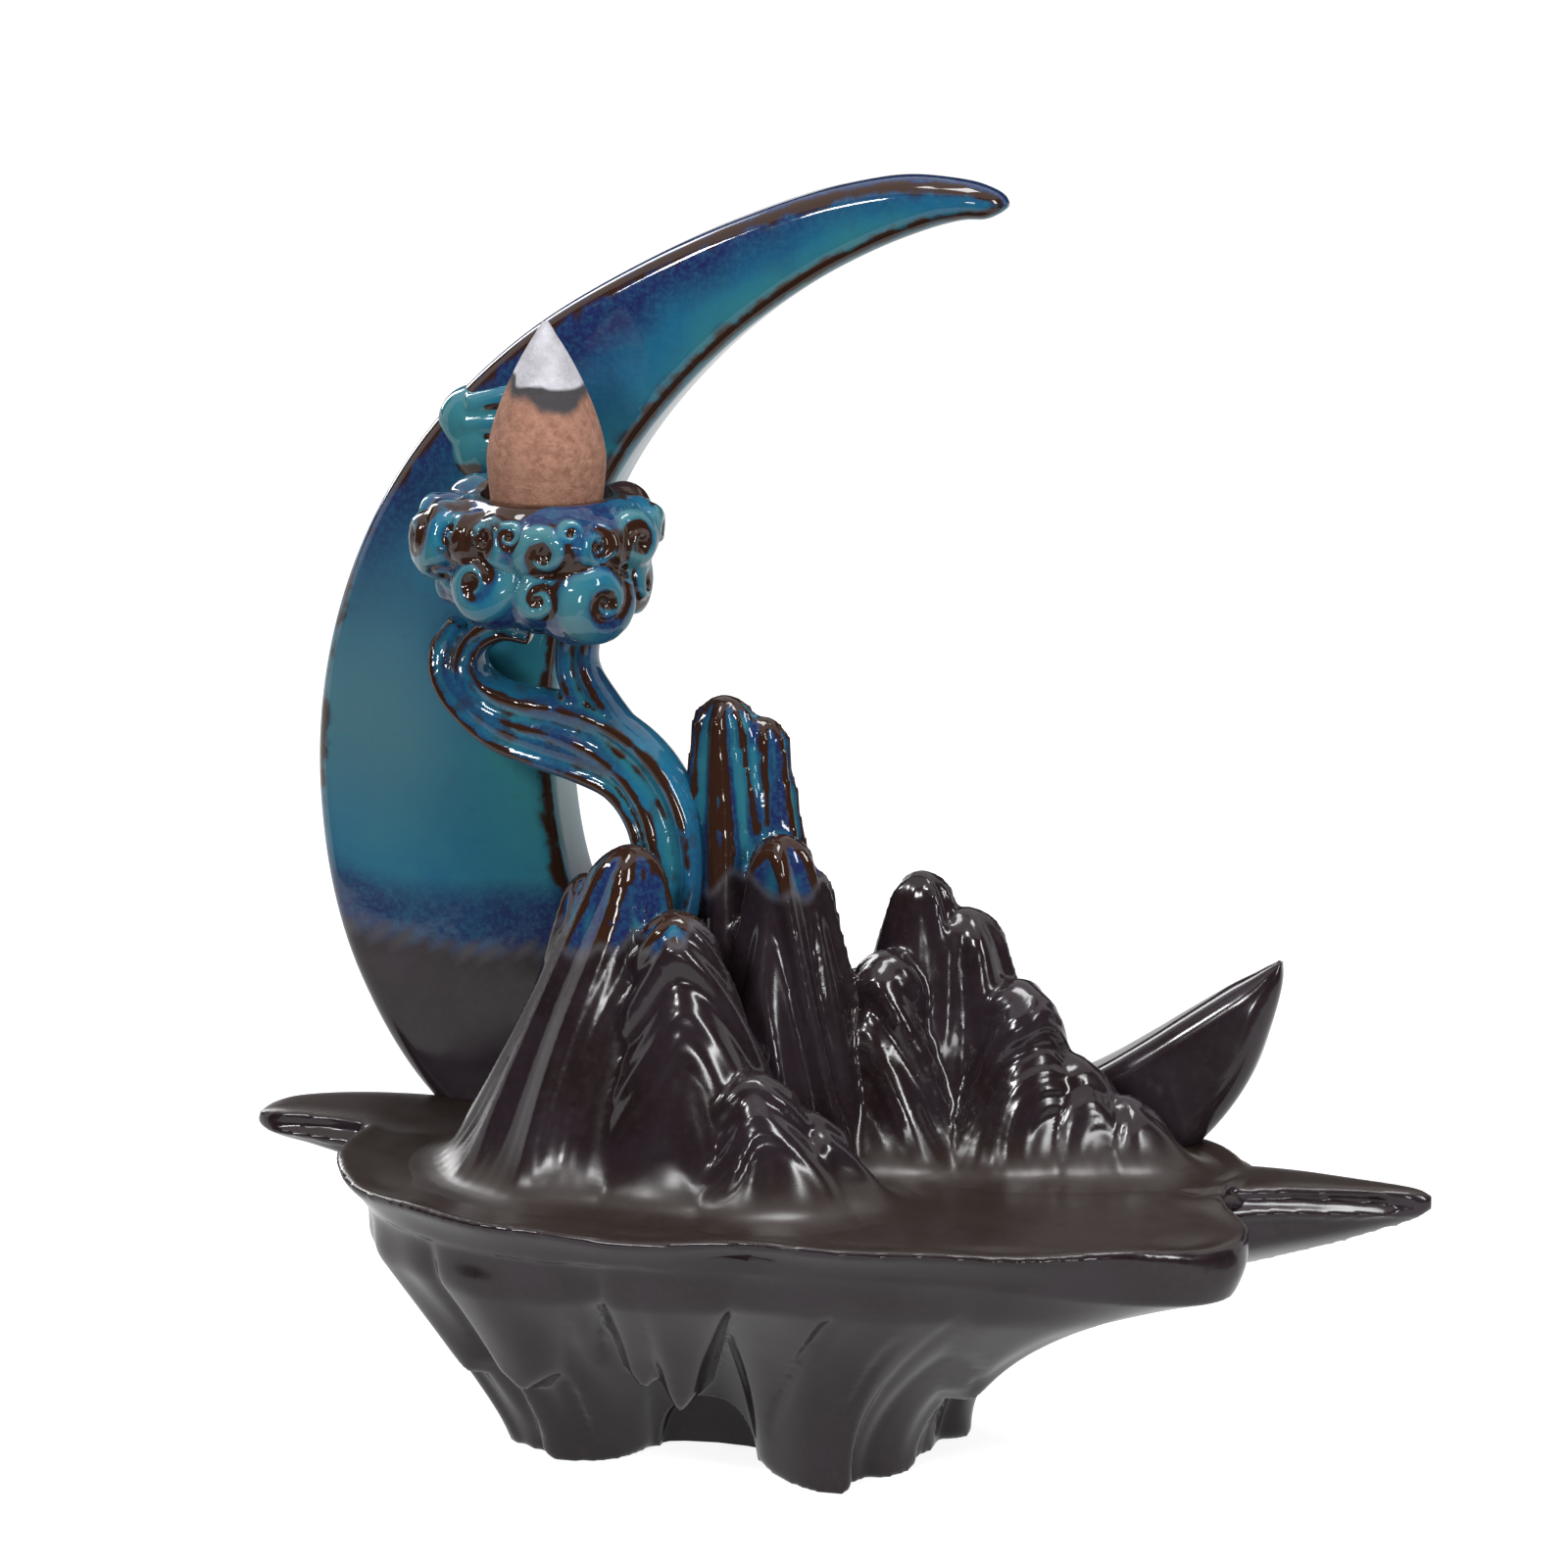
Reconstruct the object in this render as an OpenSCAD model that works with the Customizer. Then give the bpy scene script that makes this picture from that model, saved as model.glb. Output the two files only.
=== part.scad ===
// Backflow incense burner: a crescent moon rises from a floating rock island,
// a cloud-shaped cup on the moon holds the cone, and the smoke runs out under
// the cloud, down a curling stream and over the peaks into a shallow pool.
// Millimetres, +Z up, X along the moon, -Y is the front, Z = 0 is the foot.

/* [Island] */
// Length over the two rock spikes
island_l = 154; // [146:1:176]
// Depth of the plate from front to back
plate_d = 72; // [66:1:84]
// Length of the plate without its spikes
plate_l = 119; // [112:1:126]
// Height of the plate's edge above the foot
plate_z = 38; // [33:1:46]
// Thickness of the plate's edge
rim_t = 5; // [3.5:0.5:8]
// Depth of the pool below the lip of the plate
pool_depth = 1.6; // [0.8:0.2:3]
// Length of the foot
foot_l = 53; // [46:1:60]
// Depth of the foot from front to back
foot_d = 36; // [32:1:42]
// Wall left round the hollow underside, at the foot
foot_wall = 5; // [4:0.5:7]
// Height of the hollow in the underside
hollow_h = 24; // [14:1:28]
// Height of the niche between the two front feet
niche_h = 8.5; // [5:0.5:12]

/* [Crescent] */
// Radius of the moon's outer edge
moon_r = 78; // [72:0.5:86]
// Greatest width of the crescent
moon_w = 32.4; // [28:0.2:36]
// Thickness of the crescent, front to back
moon_t = 14; // [10:0.5:16]
// How far the moon's circle goes down below the plate's edge
moon_sink = 33.7; // [30:0.2:38]
// Rounding of the crescent's edges
moon_edge = 4.5; // [2:0.5:6]

/* [Peaks] */
// Height of the tallest peak above the plate's edge
peak_h = 58.5; // [48:0.5:64]
// Depth of the folds that run down the peaks, as a share of their radius
fold_depth = 0.2; // [0.08:0.02:0.26]

/* [Cloud cup] */
// Distance of the cup's axis in front of the moon's face
cup_reach = 17; // [15:0.5:20]
// Depth of the well that the cone stands in
well_depth = 2.8; // [1.6:0.2:4]
// Bore of the smoke channel under the cone
channel_d = 3.6; // [2.6:0.2:4.4]
// Radius of the scroll lobes of the cloud
lobe_r = 4.4; // [3.8:0.2:5]

/* [Incense cone] */
// Greatest diameter of the cone
cone_d = 15; // [13:0.5:16]
// Height of the cone
cone_h = 25.5; // [20:0.5:32]
// Bore up the cone's middle, for the falling smoke
cone_bore = 3.2; // [2.4:0.2:4]
// Clearance round the cone in its well
cone_gap = 0.8; // [0.5:0.1:1.5]

/* [Hidden] */

glaze_teal = [0.10, 0.38, 0.46];
glaze_brown = [0.20, 0.15, 0.13];
incense_tan = [0.60, 0.42, 0.32];

// Middle of the plate and of the foot, seen from above
plate_mid = [-2, 0];
foot_mid = [-12, 4];
// Middle of the moon's circle, and the plane of its front face
moon_x = 5.2;
moon_z = plate_z + moon_r - moon_sink;
moon_y = 25;
moon_front = moon_y - moon_t / 2;
// Points between two control points of a curve
curve_steps = 3;

// The crescent, tip to tip against the clock: angle, then the shares of the
// outer radius, of the greatest width and of the thickness at that angle
crescent_stations = [
    [80.1, 0.980, 0.020, 0.12],
    [80.7, 0.990, 0.070, 0.26],
    [82.0, 0.998, 0.120, 0.38],
    [84.5, 1.004, 0.155, 0.48],
    [90.0, 1.005, 0.240, 0.58],
    [97.0, 0.990, 0.310, 0.68],
    [107.0, 0.967, 0.395, 0.80],
    [119.0, 0.957, 0.515, 0.90],
    [133.0, 0.967, 0.670, 0.97],
    [150.0, 0.982, 0.850, 1.00],
    [167.0, 0.991, 0.957, 1.00],
    [184.0, 0.996, 1.000, 1.00],
    [202.0, 1.000, 1.000, 1.00],
    [220.0, 0.975, 0.930, 1.00],
    [246.0, 0.865, 0.760, 0.94],
    [276.0, 0.788, 0.585, 0.87],
    [305.0, 0.774, 0.500, 0.78],
    [319.0, 0.757, 0.405, 0.66],
    [329.0, 0.725, 0.240, 0.48],
    [334.5, 0.706, 0.105, 0.28],
    [337.0, 0.692, 0.020, 0.12],
];

// The rock's ribs, against the clock from the right: a point of the plate's
// edge and the point of the foot below it, as shares of their half sizes
rock_ribs = [
    [0.908, 0.056, 1.000, 0.000],
    [0.924, 0.333, 0.981, 0.389],
    [0.807, 0.667, 0.792, 0.778],
    [0.538, 0.889, 0.453, 0.944],
    [0.202, 0.986, 0.113, 1.000],
    [-0.168, 1.000, -0.264, 0.972],
    [-0.538, 0.917, -0.642, 0.806],
    [-0.807, 0.722, -0.887, 0.500],
    [-0.958, 0.417, -0.981, 0.111],
    [-1.000, 0.056, -1.000, -0.278],
    [-0.992, -0.250, -0.981, -0.556],
    [-0.916, -0.528, -0.868, -0.750],
    [-0.765, -0.778, -0.660, -0.778],
    [-0.555, -0.944, -0.453, -0.667],
    [-0.336, -1.000, -0.283, -0.472],
    [-0.101, -0.986, 0.000, -0.389],
    [0.134, -0.958, 0.264, -0.667],
    [0.370, -0.917, 0.491, -0.944],
    [0.605, -0.861, 0.698, -0.944],
    [0.824, -0.750, 0.830, -0.639],
    [0.975, -0.556, 0.925, -0.389],
    [0.992, -0.333, 0.962, -0.222],
    [0.924, -0.111, 0.991, -0.111],
];

// Pointed drapes of rock under the rim: place along the ribs, half width in
// ribs, how far they stand out, and the share of height of their tip
rock_drapes = [
    [1.2, 1.5, 4.0, 0.05],
    [3.6, 1.3, 7.0, 0.20],
    [5.9, 1.3, 7.0, 0.00],
    [8.0, 1.1, 3.5, 0.25],
    [9.9, 1.0, 1.0, 0.05],
    [11.4, 0.8, 2.0, 0.34],
    [12.7, 0.9, 6.0, 0.05],
    [14.4, 1.2, 10.5, 0.27],
    [16.2, 0.9, 7.0, 0.00],
    [17.7, 0.8, 7.5, 0.30],
    [19.2, 0.9, 6.5, 0.00],
    [20.9, 0.9, 3.5, 0.36],
];

// Stations along a spike: share of its reach from root to tip, the front and
// back edges, how far the top lies below the plate's edge, and the thickness
right_spike = [
    [0.00, 0.0, 19.0, 2.6, 9.0],
    [0.25, 0.2, 19.4, 1.4, 12.0],
    [0.45, 0.8, 18.6, 0.7, 12.6],
    [0.62, 3.2, 16.0, 0.3, 10.8],
    [0.80, 4.6, 12.6, 0.2, 7.8],
    [0.94, 6.0, 10.0, 0.3, 4.6],
    [1.00, 7.4, 8.6, 0.9, 2.2],
];
left_spike = [
    [0.00, 0.0, 20.0, 2.6, 9.0],
    [0.30, -0.5, 23.0, 0.8, 11.0],
    [0.55, 0.8, 22.0, -0.2, 10.0],
    [0.76, 1.8, 18.4, -0.8, 7.6],
    [0.93, 3.8, 14.0, -0.6, 5.0],
    [1.00, 6.4, 10.4, 0.4, 2.4],
];
spike_root = 28;

// The peaks: top x and y, base x and y, height as a share of the tallest,
// base radii along x and y, top radius, number of folds and their turn
peaks = [
    [-22.3, -8.0, -27.5, -5.0, 0.720, 20.5, 19.0, 5.2, 7, 12],
    [-28.6, -5.0, -31.0, -3.0, 0.640, 13.0, 13.0, 3.4, 5, 40],
    [-15.2, -13.0, -12.5, -12.0, 0.604, 16.5, 13.5, 5.4, 7, 5],
    [-4.4, -17.0, -3.4, -15.5, 0.282, 13.5, 10.5, 5.0, 6, 20],
    [2.2, -14.5, 4.6, -13.5, 0.190, 9.0, 7.0, 3.2, 5, 55],
    [-14.0, 7.0, -12.5, 8.0, 1.000, 13.0, 11.0, 4.2, 6, 30],
    [-9.2, 7.5, -7.5, 8.0, 0.955, 11.0, 11.0, 3.2, 5, 0],
    [-5.2, 1.5, -4.5, 2.0, 0.722, 11.5, 11.0, 4.0, 6, 18],
    [-2.6, 3.0, 0.4, 4.0, 0.650, 9.5, 9.0, 3.2, 5, 62],
    [10.4, 13.0, 10.4, 13.0, 0.610, 13.0, 12.0, 4.4, 6, 8],
    [15.9, 14.0, 17.8, 13.0, 0.530, 12.5, 11.0, 4.8, 6, 33],
    [7.2, 7.0, 7.0, 5.5, 0.455, 11.5, 9.0, 4.6, 6, 50],
    [0.8, 5.0, 1.4, 4.5, 0.300, 9.0, 7.5, 3.6, 5, 10],
    [23.4, 11.0, 24.0, 10.0, 0.390, 12.5, 10.5, 4.8, 6, 25],
    [30.4, 11.0, 31.8, 9.5, 0.230, 10.0, 8.5, 4.0, 5, 0],
    [37.2, 11.0, 39.2, 10.5, 0.145, 8.5, 7.0, 3.2, 5, 40],
];
// Rings of a peak: shares of the height under its dome, then angles up the dome
peak_levels = [0, 0.22, 0.5, 0.78, 1];
dome_angles = [42, 80];
peak_root = 3;

// The cup sits where this angle of the moon meets the crescent's inner edge
cup_angle = 140.9;
cup_inset = 0.7;
inner_edge = moon_r * lookup(cup_angle, [for (s = crescent_stations) [s[0], s[1]]])
    - moon_w * lookup(cup_angle, [for (s = crescent_stations) [s[0], s[2]]]);
cup_x = moon_x + (inner_edge + cup_inset) * cos(cup_angle);
rim_z = moon_z + (inner_edge + cup_inset) * sin(cup_angle) + 7.2;
cup_y = moon_front - cup_reach;
well_r = cone_d / 2 + cone_gap;
well_z = rim_z - well_depth;
// The cloud's body below the rim: drop and radius beyond the well's
cloud_profile = [[17.4, -5.0], [15.4, -0.8], [12.0, 2.6], [8.0, 4.0], [4.0, 4.2], [1.2, 3.2], [0, 1.6]];
// Scroll lobes: bearing, distance from the axis beyond the well, drop below
// the rim, share of the lobe radius, and the way the scroll winds, 0 for none
cloud_lobes = [
    [180, 4.9, 3.8, 1.05, 1],
    [210, 4.2, 5.6, 0.95, -1],
    [238, 3.4, 4.6, 0.92, 1],
    [266, 3.0, 5.4, 0.92, -1],
    [294, 2.9, 4.4, 0.90, 1],
    [324, 2.3, 5.0, 0.92, -1],
    [357, 2.4, 3.8, 0.95, 1],
    [30, 2.6, 2.8, 0.90, 0],
    [150, 4.2, 2.8, 0.95, 0],
    [198, 0.2, 11.2, 1.05, 1],
    [236, 0.3, 11.6, 1.00, -1],
    [273, 0.4, 12.3, 1.00, 1],
    [313, 1.0, 12.1, 1.14, -1],
    [350, 1.0, 11.0, 1.05, 1],
];
scroll_steps = 7;
scroll_sides = 4;

// Wisps of cloud in relief where the moon's outer edge passes the cup: from
// and to, along and across from the cup's axis, with the radius of each end
moon_wisps = [
    [-8.0, 9.0, 2.0, -16.4, 9.2, 2.3],
    [-7.0, 5.0, 2.0, -17.6, 4.8, 2.2],
    [-7.0, 1.0, 2.2, -16.2, 0.6, 2.1],
    [5.4, 2.6, 2.2, 2.2, -1.0, 2.4],
];

// The stream, from its curl under the cloud to its end among the peaks:
// along, out from the moon's face and across from the cup's rim, then the
// half height and half depth of its strand
stream_outer = [
    [-14.4, 8.0, -18.8, 1.2, 2.0],
    [-15.9, 8.0, -21.6, 1.9, 4.6],
    [-15.4, 8.2, -25.4, 2.2, 6.0],
    [-12.4, 8.6, -29.2, 2.4, 6.6],
    [-7.8, 9.2, -32.3, 2.6, 6.6],
    [-2.4, 10.2, -34.0, 2.6, 6.0],
    [3.2, 11.4, -35.4, 2.6, 5.4],
    [8.4, 12.4, -37.6, 2.6, 5.0],
    [11.8, 13.2, -42.0, 2.6, 4.6],
    [13.4, 14.0, -48.5, 2.4, 4.0],
];
stream_inner = [
    [-4.0, 10.5, -19.6, 1.3, 1.8],
    [-7.8, 10.6, -18.8, 1.6, 2.6],
    [-11.2, 10.4, -20.6, 1.8, 3.4],
    [-12.3, 10.2, -23.9, 2.0, 4.2],
    [-10.2, 10.2, -27.3, 2.4, 4.8],
    [-5.6, 10.6, -29.2, 2.8, 5.2],
    [0.8, 11.4, -30.0, 3.2, 5.4],
    [6.8, 12.2, -32.0, 3.6, 5.4],
    [11.8, 12.8, -36.0, 3.8, 5.2],
    [15.0, 13.4, -41.6, 3.8, 5.0],
    [16.2, 14.2, -48.6, 3.6, 4.6],
    [15.6, 15.0, -54.0, 3.2, 4.2],
];
stream_fall = [
    [3.4, 12.0, -13.5, 3.2, 4.0],
    [2.6, 11.8, -18.5, 2.6, 3.6],
    [2.4, 11.6, -23.5, 2.6, 3.8],
    [5.0, 12.0, -28.5, 3.0, 4.4],
    [9.2, 12.6, -33.5, 3.0, 4.6],
];
stream_sides = 6;
outlet = [1.5, -6.0, -16.0];

function lerp(a, b, t) = a + (b - a) * t;

function ease(t) = let (u = min(1, max(0, t))) u * u * (3 - 2 * u);

function unit(v) = v / norm(v);

// Point on the smooth curve from p1 to p2, with their neighbours p0 and p3
function curve_point(p0, p1, p2, p3, t) =
    0.5 * (2 * p1 + (p2 - p0) * t + (2 * p0 - 5 * p1 + 4 * p2 - p3) * t * t
        + (3 * p1 - p0 - 3 * p2 + p3) * t * t * t);

// Smooth curve through control points, from the first to the last
function open_curve(pts, steps) =
    let (last = len(pts) - 1)
    [
        for (i = [0 : last - 1], k = [0 : steps - 1])
            curve_point(pts[max(0, i - 1)], pts[i], pts[i + 1], pts[min(last, i + 2)], k / steps),
        pts[last]
    ];

// Point at place u on the closed smooth curve through control points
function ring_point(pts, u) =
    let (n = len(pts), i = floor(u), t = u - i)
    curve_point(pts[(i + n - 1) % n], pts[i % n], pts[(i + 1) % n], pts[(i + 2) % n], t);

// Rounded oblong section, with a crown on its two long faces
function oblong(half_w, half_t, edge, crown, turn) =
    let (r = min(edge, half_w * 0.96, half_t * 0.96), flat = half_w - r)
    [
        for (q = [0 : 3])
            let (sx = (q == 0 || q == 3) ? 1 : -1, sy = q < 2 ? 1 : -1)
            each concat(
                [for (a = [q * 90 : turn : q * 90 + 90])
                    let (x = sx * flat + r * cos(a))
                    [x, sy * (half_t - r + crown * (1 - pow(x / half_w, 2))) + r * sin(a)]],
                q % 2 == 1 ? [] :
                [for (k = [0.5, -0.5])
                    [sx * k * flat, sy * (half_t + crown * (1 - pow(k * flat / half_w, 2)))]]
            )
    ];

// Closed solid through rings of points, each ring turning right-handed about
// the way from the first ring to the last
module loft(rings) {
    n = len(rings[0]);
    last = len(rings) - 1;
    walls = [
        for (j = [0 : last - 1], i = [0 : n - 1])
            let (a = j * n + i, b = j * n + (i + 1) % n)
            each [[a, a + n, b + n], [a, b + n, b]]
    ];
    start_cap = [for (i = [0 : n - 1]) i];
    end_cap = [for (i = [n - 1 : -1 : 0]) last * n + i];
    polyhedron(points = [for (r = rings) each r], faces = concat([start_cap], walls, [end_cap]));
}

// Oval ring of n points about c, square to the way t, its first axis near up
function oval_ring(c, t, up, along_up, across, n) =
    let (v = unit(cross(t, up)), u = cross(v, t), w = cross(t, u))
    [for (i = [0 : n - 1]) c + u * along_up * cos(360 * i / n) + w * across * sin(360 * i / n)];

function way(path, i) = unit(path[min(i + 1, len(path) - 1)] - path[max(i - 1, 0)]);

// The moon, one swept crescent whose lower arc runs hidden through the island
module crescent() {
    stations = open_curve(crescent_stations, 2);
    color(glaze_teal) loft([
        for (s = stations)
            let (
                outer = moon_r * s[1],
                half_w = moon_w * s[2] / 2,
                half_t = moon_t * s[3] / 2,
                mid = outer - half_w
            )
            [for (p = oblong(half_w, half_t, moon_edge, half_t * 0.08, 45))
                [moon_x + (mid + p[0]) * cos(s[0]), moon_y + p[1], moon_z + (mid + p[0]) * sin(s[0])]]
    ]);
}

function rim_point(u) =
    let (p = ring_point(rock_ribs, u))
    [plate_mid[0] + plate_l / 2 * p[0], plate_mid[1] + plate_d / 2 * p[1]];

function foot_point(u) =
    let (p = ring_point(rock_ribs, u))
    [foot_mid[0] + foot_l / 2 * p[2], foot_mid[1] + foot_d / 2 * p[3]];

// How far the drapes push the rock out at place u and share t of its height
function drape_push(u, t) =
    max([for (d = rock_drapes)
        let (
            n = len(rock_ribs),
            away = abs(u - d[0]),
            off = min(away, n - away),
            hang = (t - d[3]) / 0.3,
            half = d[1] * min(1, 0.35 + 0.65 * hang)
        )
        hang < 0 || off > half ? 0 :
            d[2] * ease(0.3 + hang) * sqrt(1 - pow(off / half, 2)) * (1 - ease((t - 0.5) / 0.5))]);

// Point of the rock at place u and share t of its height under the rim
function rock_point(u, t) =
    let (
        rim = rim_point(u),
        foot = foot_point(u),
        bend = 1.55 + 0.4 * cos(atan2(rim[1], rim[0])),
        spread = lerp(foot, rim, pow(t, bend)),
        out = unit(rim - foot)
    )
    spread + out * drape_push(u, t);

// Rounded share by which the edge thickens towards the front right nose
function nose(u) = ease(1 - abs(u - 20) / 3);

// Plate, lip and draped rock down to the flat foot, as one loft
module island() {
    n = len(rock_ribs);
    places = [for (i = [0 : n * curve_steps - 1]) i / curve_steps];
    rock_levels = [0, 0.13, 0.26, 0.3, 0.42, 0.58, 0.78, 1];
    rim_under = plate_z - rim_t;
    rim_round = 0.9;
    lip = 2.4;
    shore = 0.86;
    color(glaze_brown) loft(concat(
        [for (t = rock_levels)
            [for (u = places)
                let (p = rock_point(u, t))
                [p[0], p[1], t * (rim_under - 3 * nose(u) * t * t)]]],
        [for (s = [[0, 0.4], [-rim_round, 1]])
            [for (u = places)
                let (p = rim_point(u), out = unit(p))
                [p[0] + out[0] * s[0], p[1] + out[1] * s[0],
                    lerp(rim_under - 3 * nose(u), plate_z, s[1])]]],
        [[for (u = places) let (p = rim_point(u), q = p - unit(p) * lip) [q[0], q[1], plate_z - 0.5]]],
        [[for (u = places) let (q = rim_point(u) * shore) [q[0], q[1], plate_z - pool_depth]]]
    ));
}

// Rock spike that runs out from the plate's end; side is 1 or -1
module spike(stations, side) {
    tip = island_l / 2;
    path = stations;
    color(glaze_brown) loft([
        for (s = side > 0 ? path : [for (i = [len(path) - 1 : -1 : 0]) path[i]])
            let (
                x = side * lerp(spike_root, tip, s[0]),
                mid = (s[1] + s[2]) / 2,
                half_w = (s[2] - s[1]) / 2,
                half_t = s[4] / 2
            )
            [for (p = oblong(half_w, half_t, 1.6, 0, 45))
                let (keel = p[1] < 0 ? 0.55 * (1 - abs(p[0]) / half_w) + 0.45 : 1)
                [x, mid + p[0], plate_z - s[3] - half_t + p[1] * keel]]
    ]);
}

// One peak, with rounded folds that run down and spread into roots
module peak(p) {
    folds = p[8];
    n = folds * 3;
    height = peak_h * p[4];
    cap = 1 - p[7] * 1.2 / height;
    rings = concat(
        [for (l = peak_levels) [l * cap, 1]],
        [for (a = dome_angles) [cap + (1 - cap) * sin(a), cos(a)]]
    );
    loft([
        for (q = rings)
            let (
                t = q[0],
                x = lerp(p[2], p[0], t),
                y = lerp(p[3], p[1], t),
                flare = pow(1 - t, 1.45),
                sway = 16 * sin(200 * t + p[9])
            )
            [for (i = [0 : n - 1])
                let (
                    a = 360 * i / n + p[9] + sway,
                    crest = abs(sin(60 * i)) - 0.55,
                    k = 1 + fold_depth * (0.55 + 0.9 * (1 - t)) * crest
                )
                [
                    x + cos(a) * k * (p[7] * q[1] + (p[5] - p[7]) * flare),
                    y + sin(a) * k * (p[7] * q[1] + (p[6] - p[7]) * flare),
                    plate_z - peak_root + (height + peak_root) * t
                ]]
    ]);
}

module mountains() {
    color(glaze_brown) for (p = peaks) peak(p);
}

// Spiral ridge on a ball of radius r about c, facing the way out
module scroll(c, r, out, hand) {
    side = unit(cross([0, 0, 1], out));
    rise = cross(out, side);
    path = [for (k = [0 : scroll_steps - 1])
        let (
            t = k / (scroll_steps - 1),
            rho = r * lerp(0.98, 0.14, pow(t, 0.8)),
            a = hand * (430 * t - 60) + 90
        )
        c + (side * cos(a) + rise * sin(a)) * rho + out * sqrt(max(0, r * r - rho * rho))];
    loft([for (k = [0 : scroll_steps - 1])
        let (w = 0.24 * r * (0.55 + 0.75 * sin(180 * (k + 1.5) / (scroll_steps + 2))))
        oval_ring(path[k], way(path, k), unit(path[k] - c + out * 0.01), w, w, scroll_sides)]);
}

// The cloud: a scalloped body with two tiers of lobes, each with its scroll
module cloud() {
    color(glaze_teal) {
        loft([for (s = cloud_profile)
            [for (i = [0 : 20])
                let (a = 360 * i / 21, r = (well_r + s[1]) * (1 + 0.05 * cos(7 * a)))
                [cup_x + r * cos(a), cup_y + r * sin(a), rim_z - s[0]]]]);
        for (l = cloud_lobes) {
            out = unit([cos(l[0]), sin(l[0]), l[2] > 8 ? -0.15 : 0.3]);
            c = [cup_x + (well_r + l[1]) * cos(l[0]), cup_y + (well_r + l[1]) * sin(l[0]), rim_z - l[2]];
            r = lobe_r * l[3];
            hull() {
                translate(c) sphere(r = r, $fn = 8);
                translate(c - out * r * 0.9) sphere(r = r * 0.8, $fn = 5);
            }
            if (l[4] != 0) scroll(c, r, out, l[4]);
        }
        // Neck that carries the cloud on the moon's face
        hull() {
            translate([cup_x - 4, cup_y + well_r, rim_z - 8]) sphere(r = 8, $fn = 12);
            translate([cup_x - 8, moon_y, rim_z - 8]) sphere(r = 8, $fn = 12);
        }
    }
}

// Wisps of cloud that wrap from the neck round the moon's outer edge
module wisps() {
    color(glaze_teal) for (w = moon_wisps) {
        hull() {
            translate([cup_x + w[0], moon_front + 1, rim_z + w[1]]) sphere(r = w[2], $fn = 8);
            translate([cup_x + w[3], moon_front + 2.2, rim_z + w[4]]) sphere(r = w[5], $fn = 8);
            translate([cup_x + w[3] * 0.97, moon_y, rim_z + w[4]]) sphere(r = w[5] * 0.8, $fn = 6);
        }
    }
}

// One strand of the stream, placed from the cup's axis and the moon's face
module strand(stations) {
    s = open_curve(stations, 2);
    path = [for (q = s) [cup_x + q[0], moon_front - q[1], rim_z + q[2]]];
    loft([for (i = [0 : len(s) - 1])
        oval_ring(path[i], way(path, i), [0, -1, 0], s[i][4], s[i][3], stream_sides)]);
}

module stream() {
    color(glaze_teal) {
        strand(stream_outer);
        strand(stream_inner);
        strand(stream_fall);
    }
}

// Room taken out of the casting: the cone's well and the smoke channel
module cup_voids() {
    translate([cup_x, cup_y, well_z]) cylinder(r = well_r, h = well_depth + 12, $fn = 24);
    path = [
        [cup_x, cup_y, well_z + 1],
        [cup_x, cup_y, well_z - 8],
        [cup_x + outlet[0], cup_y + outlet[1], rim_z + outlet[2]],
        [cup_x + outlet[0] * 1.7, cup_y + outlet[1] * 1.8, rim_z + outlet[2] - 5]
    ];
    for (i = [0 : len(path) - 2]) hull() {
        translate(path[i]) sphere(d = channel_d, $fn = 6);
        translate(path[i + 1]) sphere(d = channel_d * (1 + 0.12 * i), $fn = 6);
    }
}

// Room taken out of the foot: the hollow underside and the front niche
module foot_voids() {
    mid = [foot_mid[0], foot_mid[1] + 5];
    half_x = foot_l / 2 - foot_wall - 2;
    half_y = foot_d / 2 - foot_wall - 4.5;
    loft([for (s = [[-1, 1], [0, 1], [0.45, 0.9], [0.8, 0.68], [1, 0.4]])
        [for (a = [0 : 15 : 345])
            [mid[0] + half_x * s[1] * cos(a), mid[1] + half_y * s[1] * sin(a),
                s[0] < 0 ? s[0] : s[0] * hollow_h]]]);
    niche_back = foot_mid[1] - foot_d / 2 * 0.389;
    translate([foot_mid[0] - 1, 0, 0]) hull() {
        translate([0, niche_back, 0]) scale([1, 0.25, 1.2]) sphere(r = niche_h * 0.8, $fn = 10);
        translate([0, -plate_d / 2, 0]) scale([1.1, 0.25, 1.25]) sphere(r = niche_h * 0.8, $fn = 10);
    }
}

// The whole casting, glazed in one piece
module burner() {
    difference() {
        union() {
            island();
            spike(right_spike, 1);
            spike(left_spike, -1);
            mountains();
            crescent();
            cloud();
            wisps();
            stream();
        }
        cup_voids();
        foot_voids();
    }
}

// Pressed incense cone, bullet shaped, bored from below
module incense_cone() {
    r = cone_d / 2;
    belly = 0.3;
    profile = [for (t = [0 : 0.1 : 0.9])
        let (w = t < belly ? lerp(0.93, 1, ease(t / belly)) : pow(1 - pow((t - belly) / (1 - belly), 1.5), 0.9))
        [r * w, cone_h * t]];
    tip = [[r * 0.16, cone_h * 0.97], [r * 0.06, cone_h]];
    color(incense_tan) translate([cup_x, cup_y, well_z]) difference() {
        rotate_extrude($fn = 48) polygon(concat([[0, 0]], profile, tip, [[0, cone_h]]));
        translate([0, 0, -1]) cylinder(d = cone_bore, h = cone_h * 0.4 + 1, $fn = 24);
    }
}

burner();
incense_cone();
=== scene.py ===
"""Looks of a glazed backflow incense burner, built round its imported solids.

Metres, +Z up, the front faces -Y. Sizes and places below are in millimetres.
"""
import math

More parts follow.
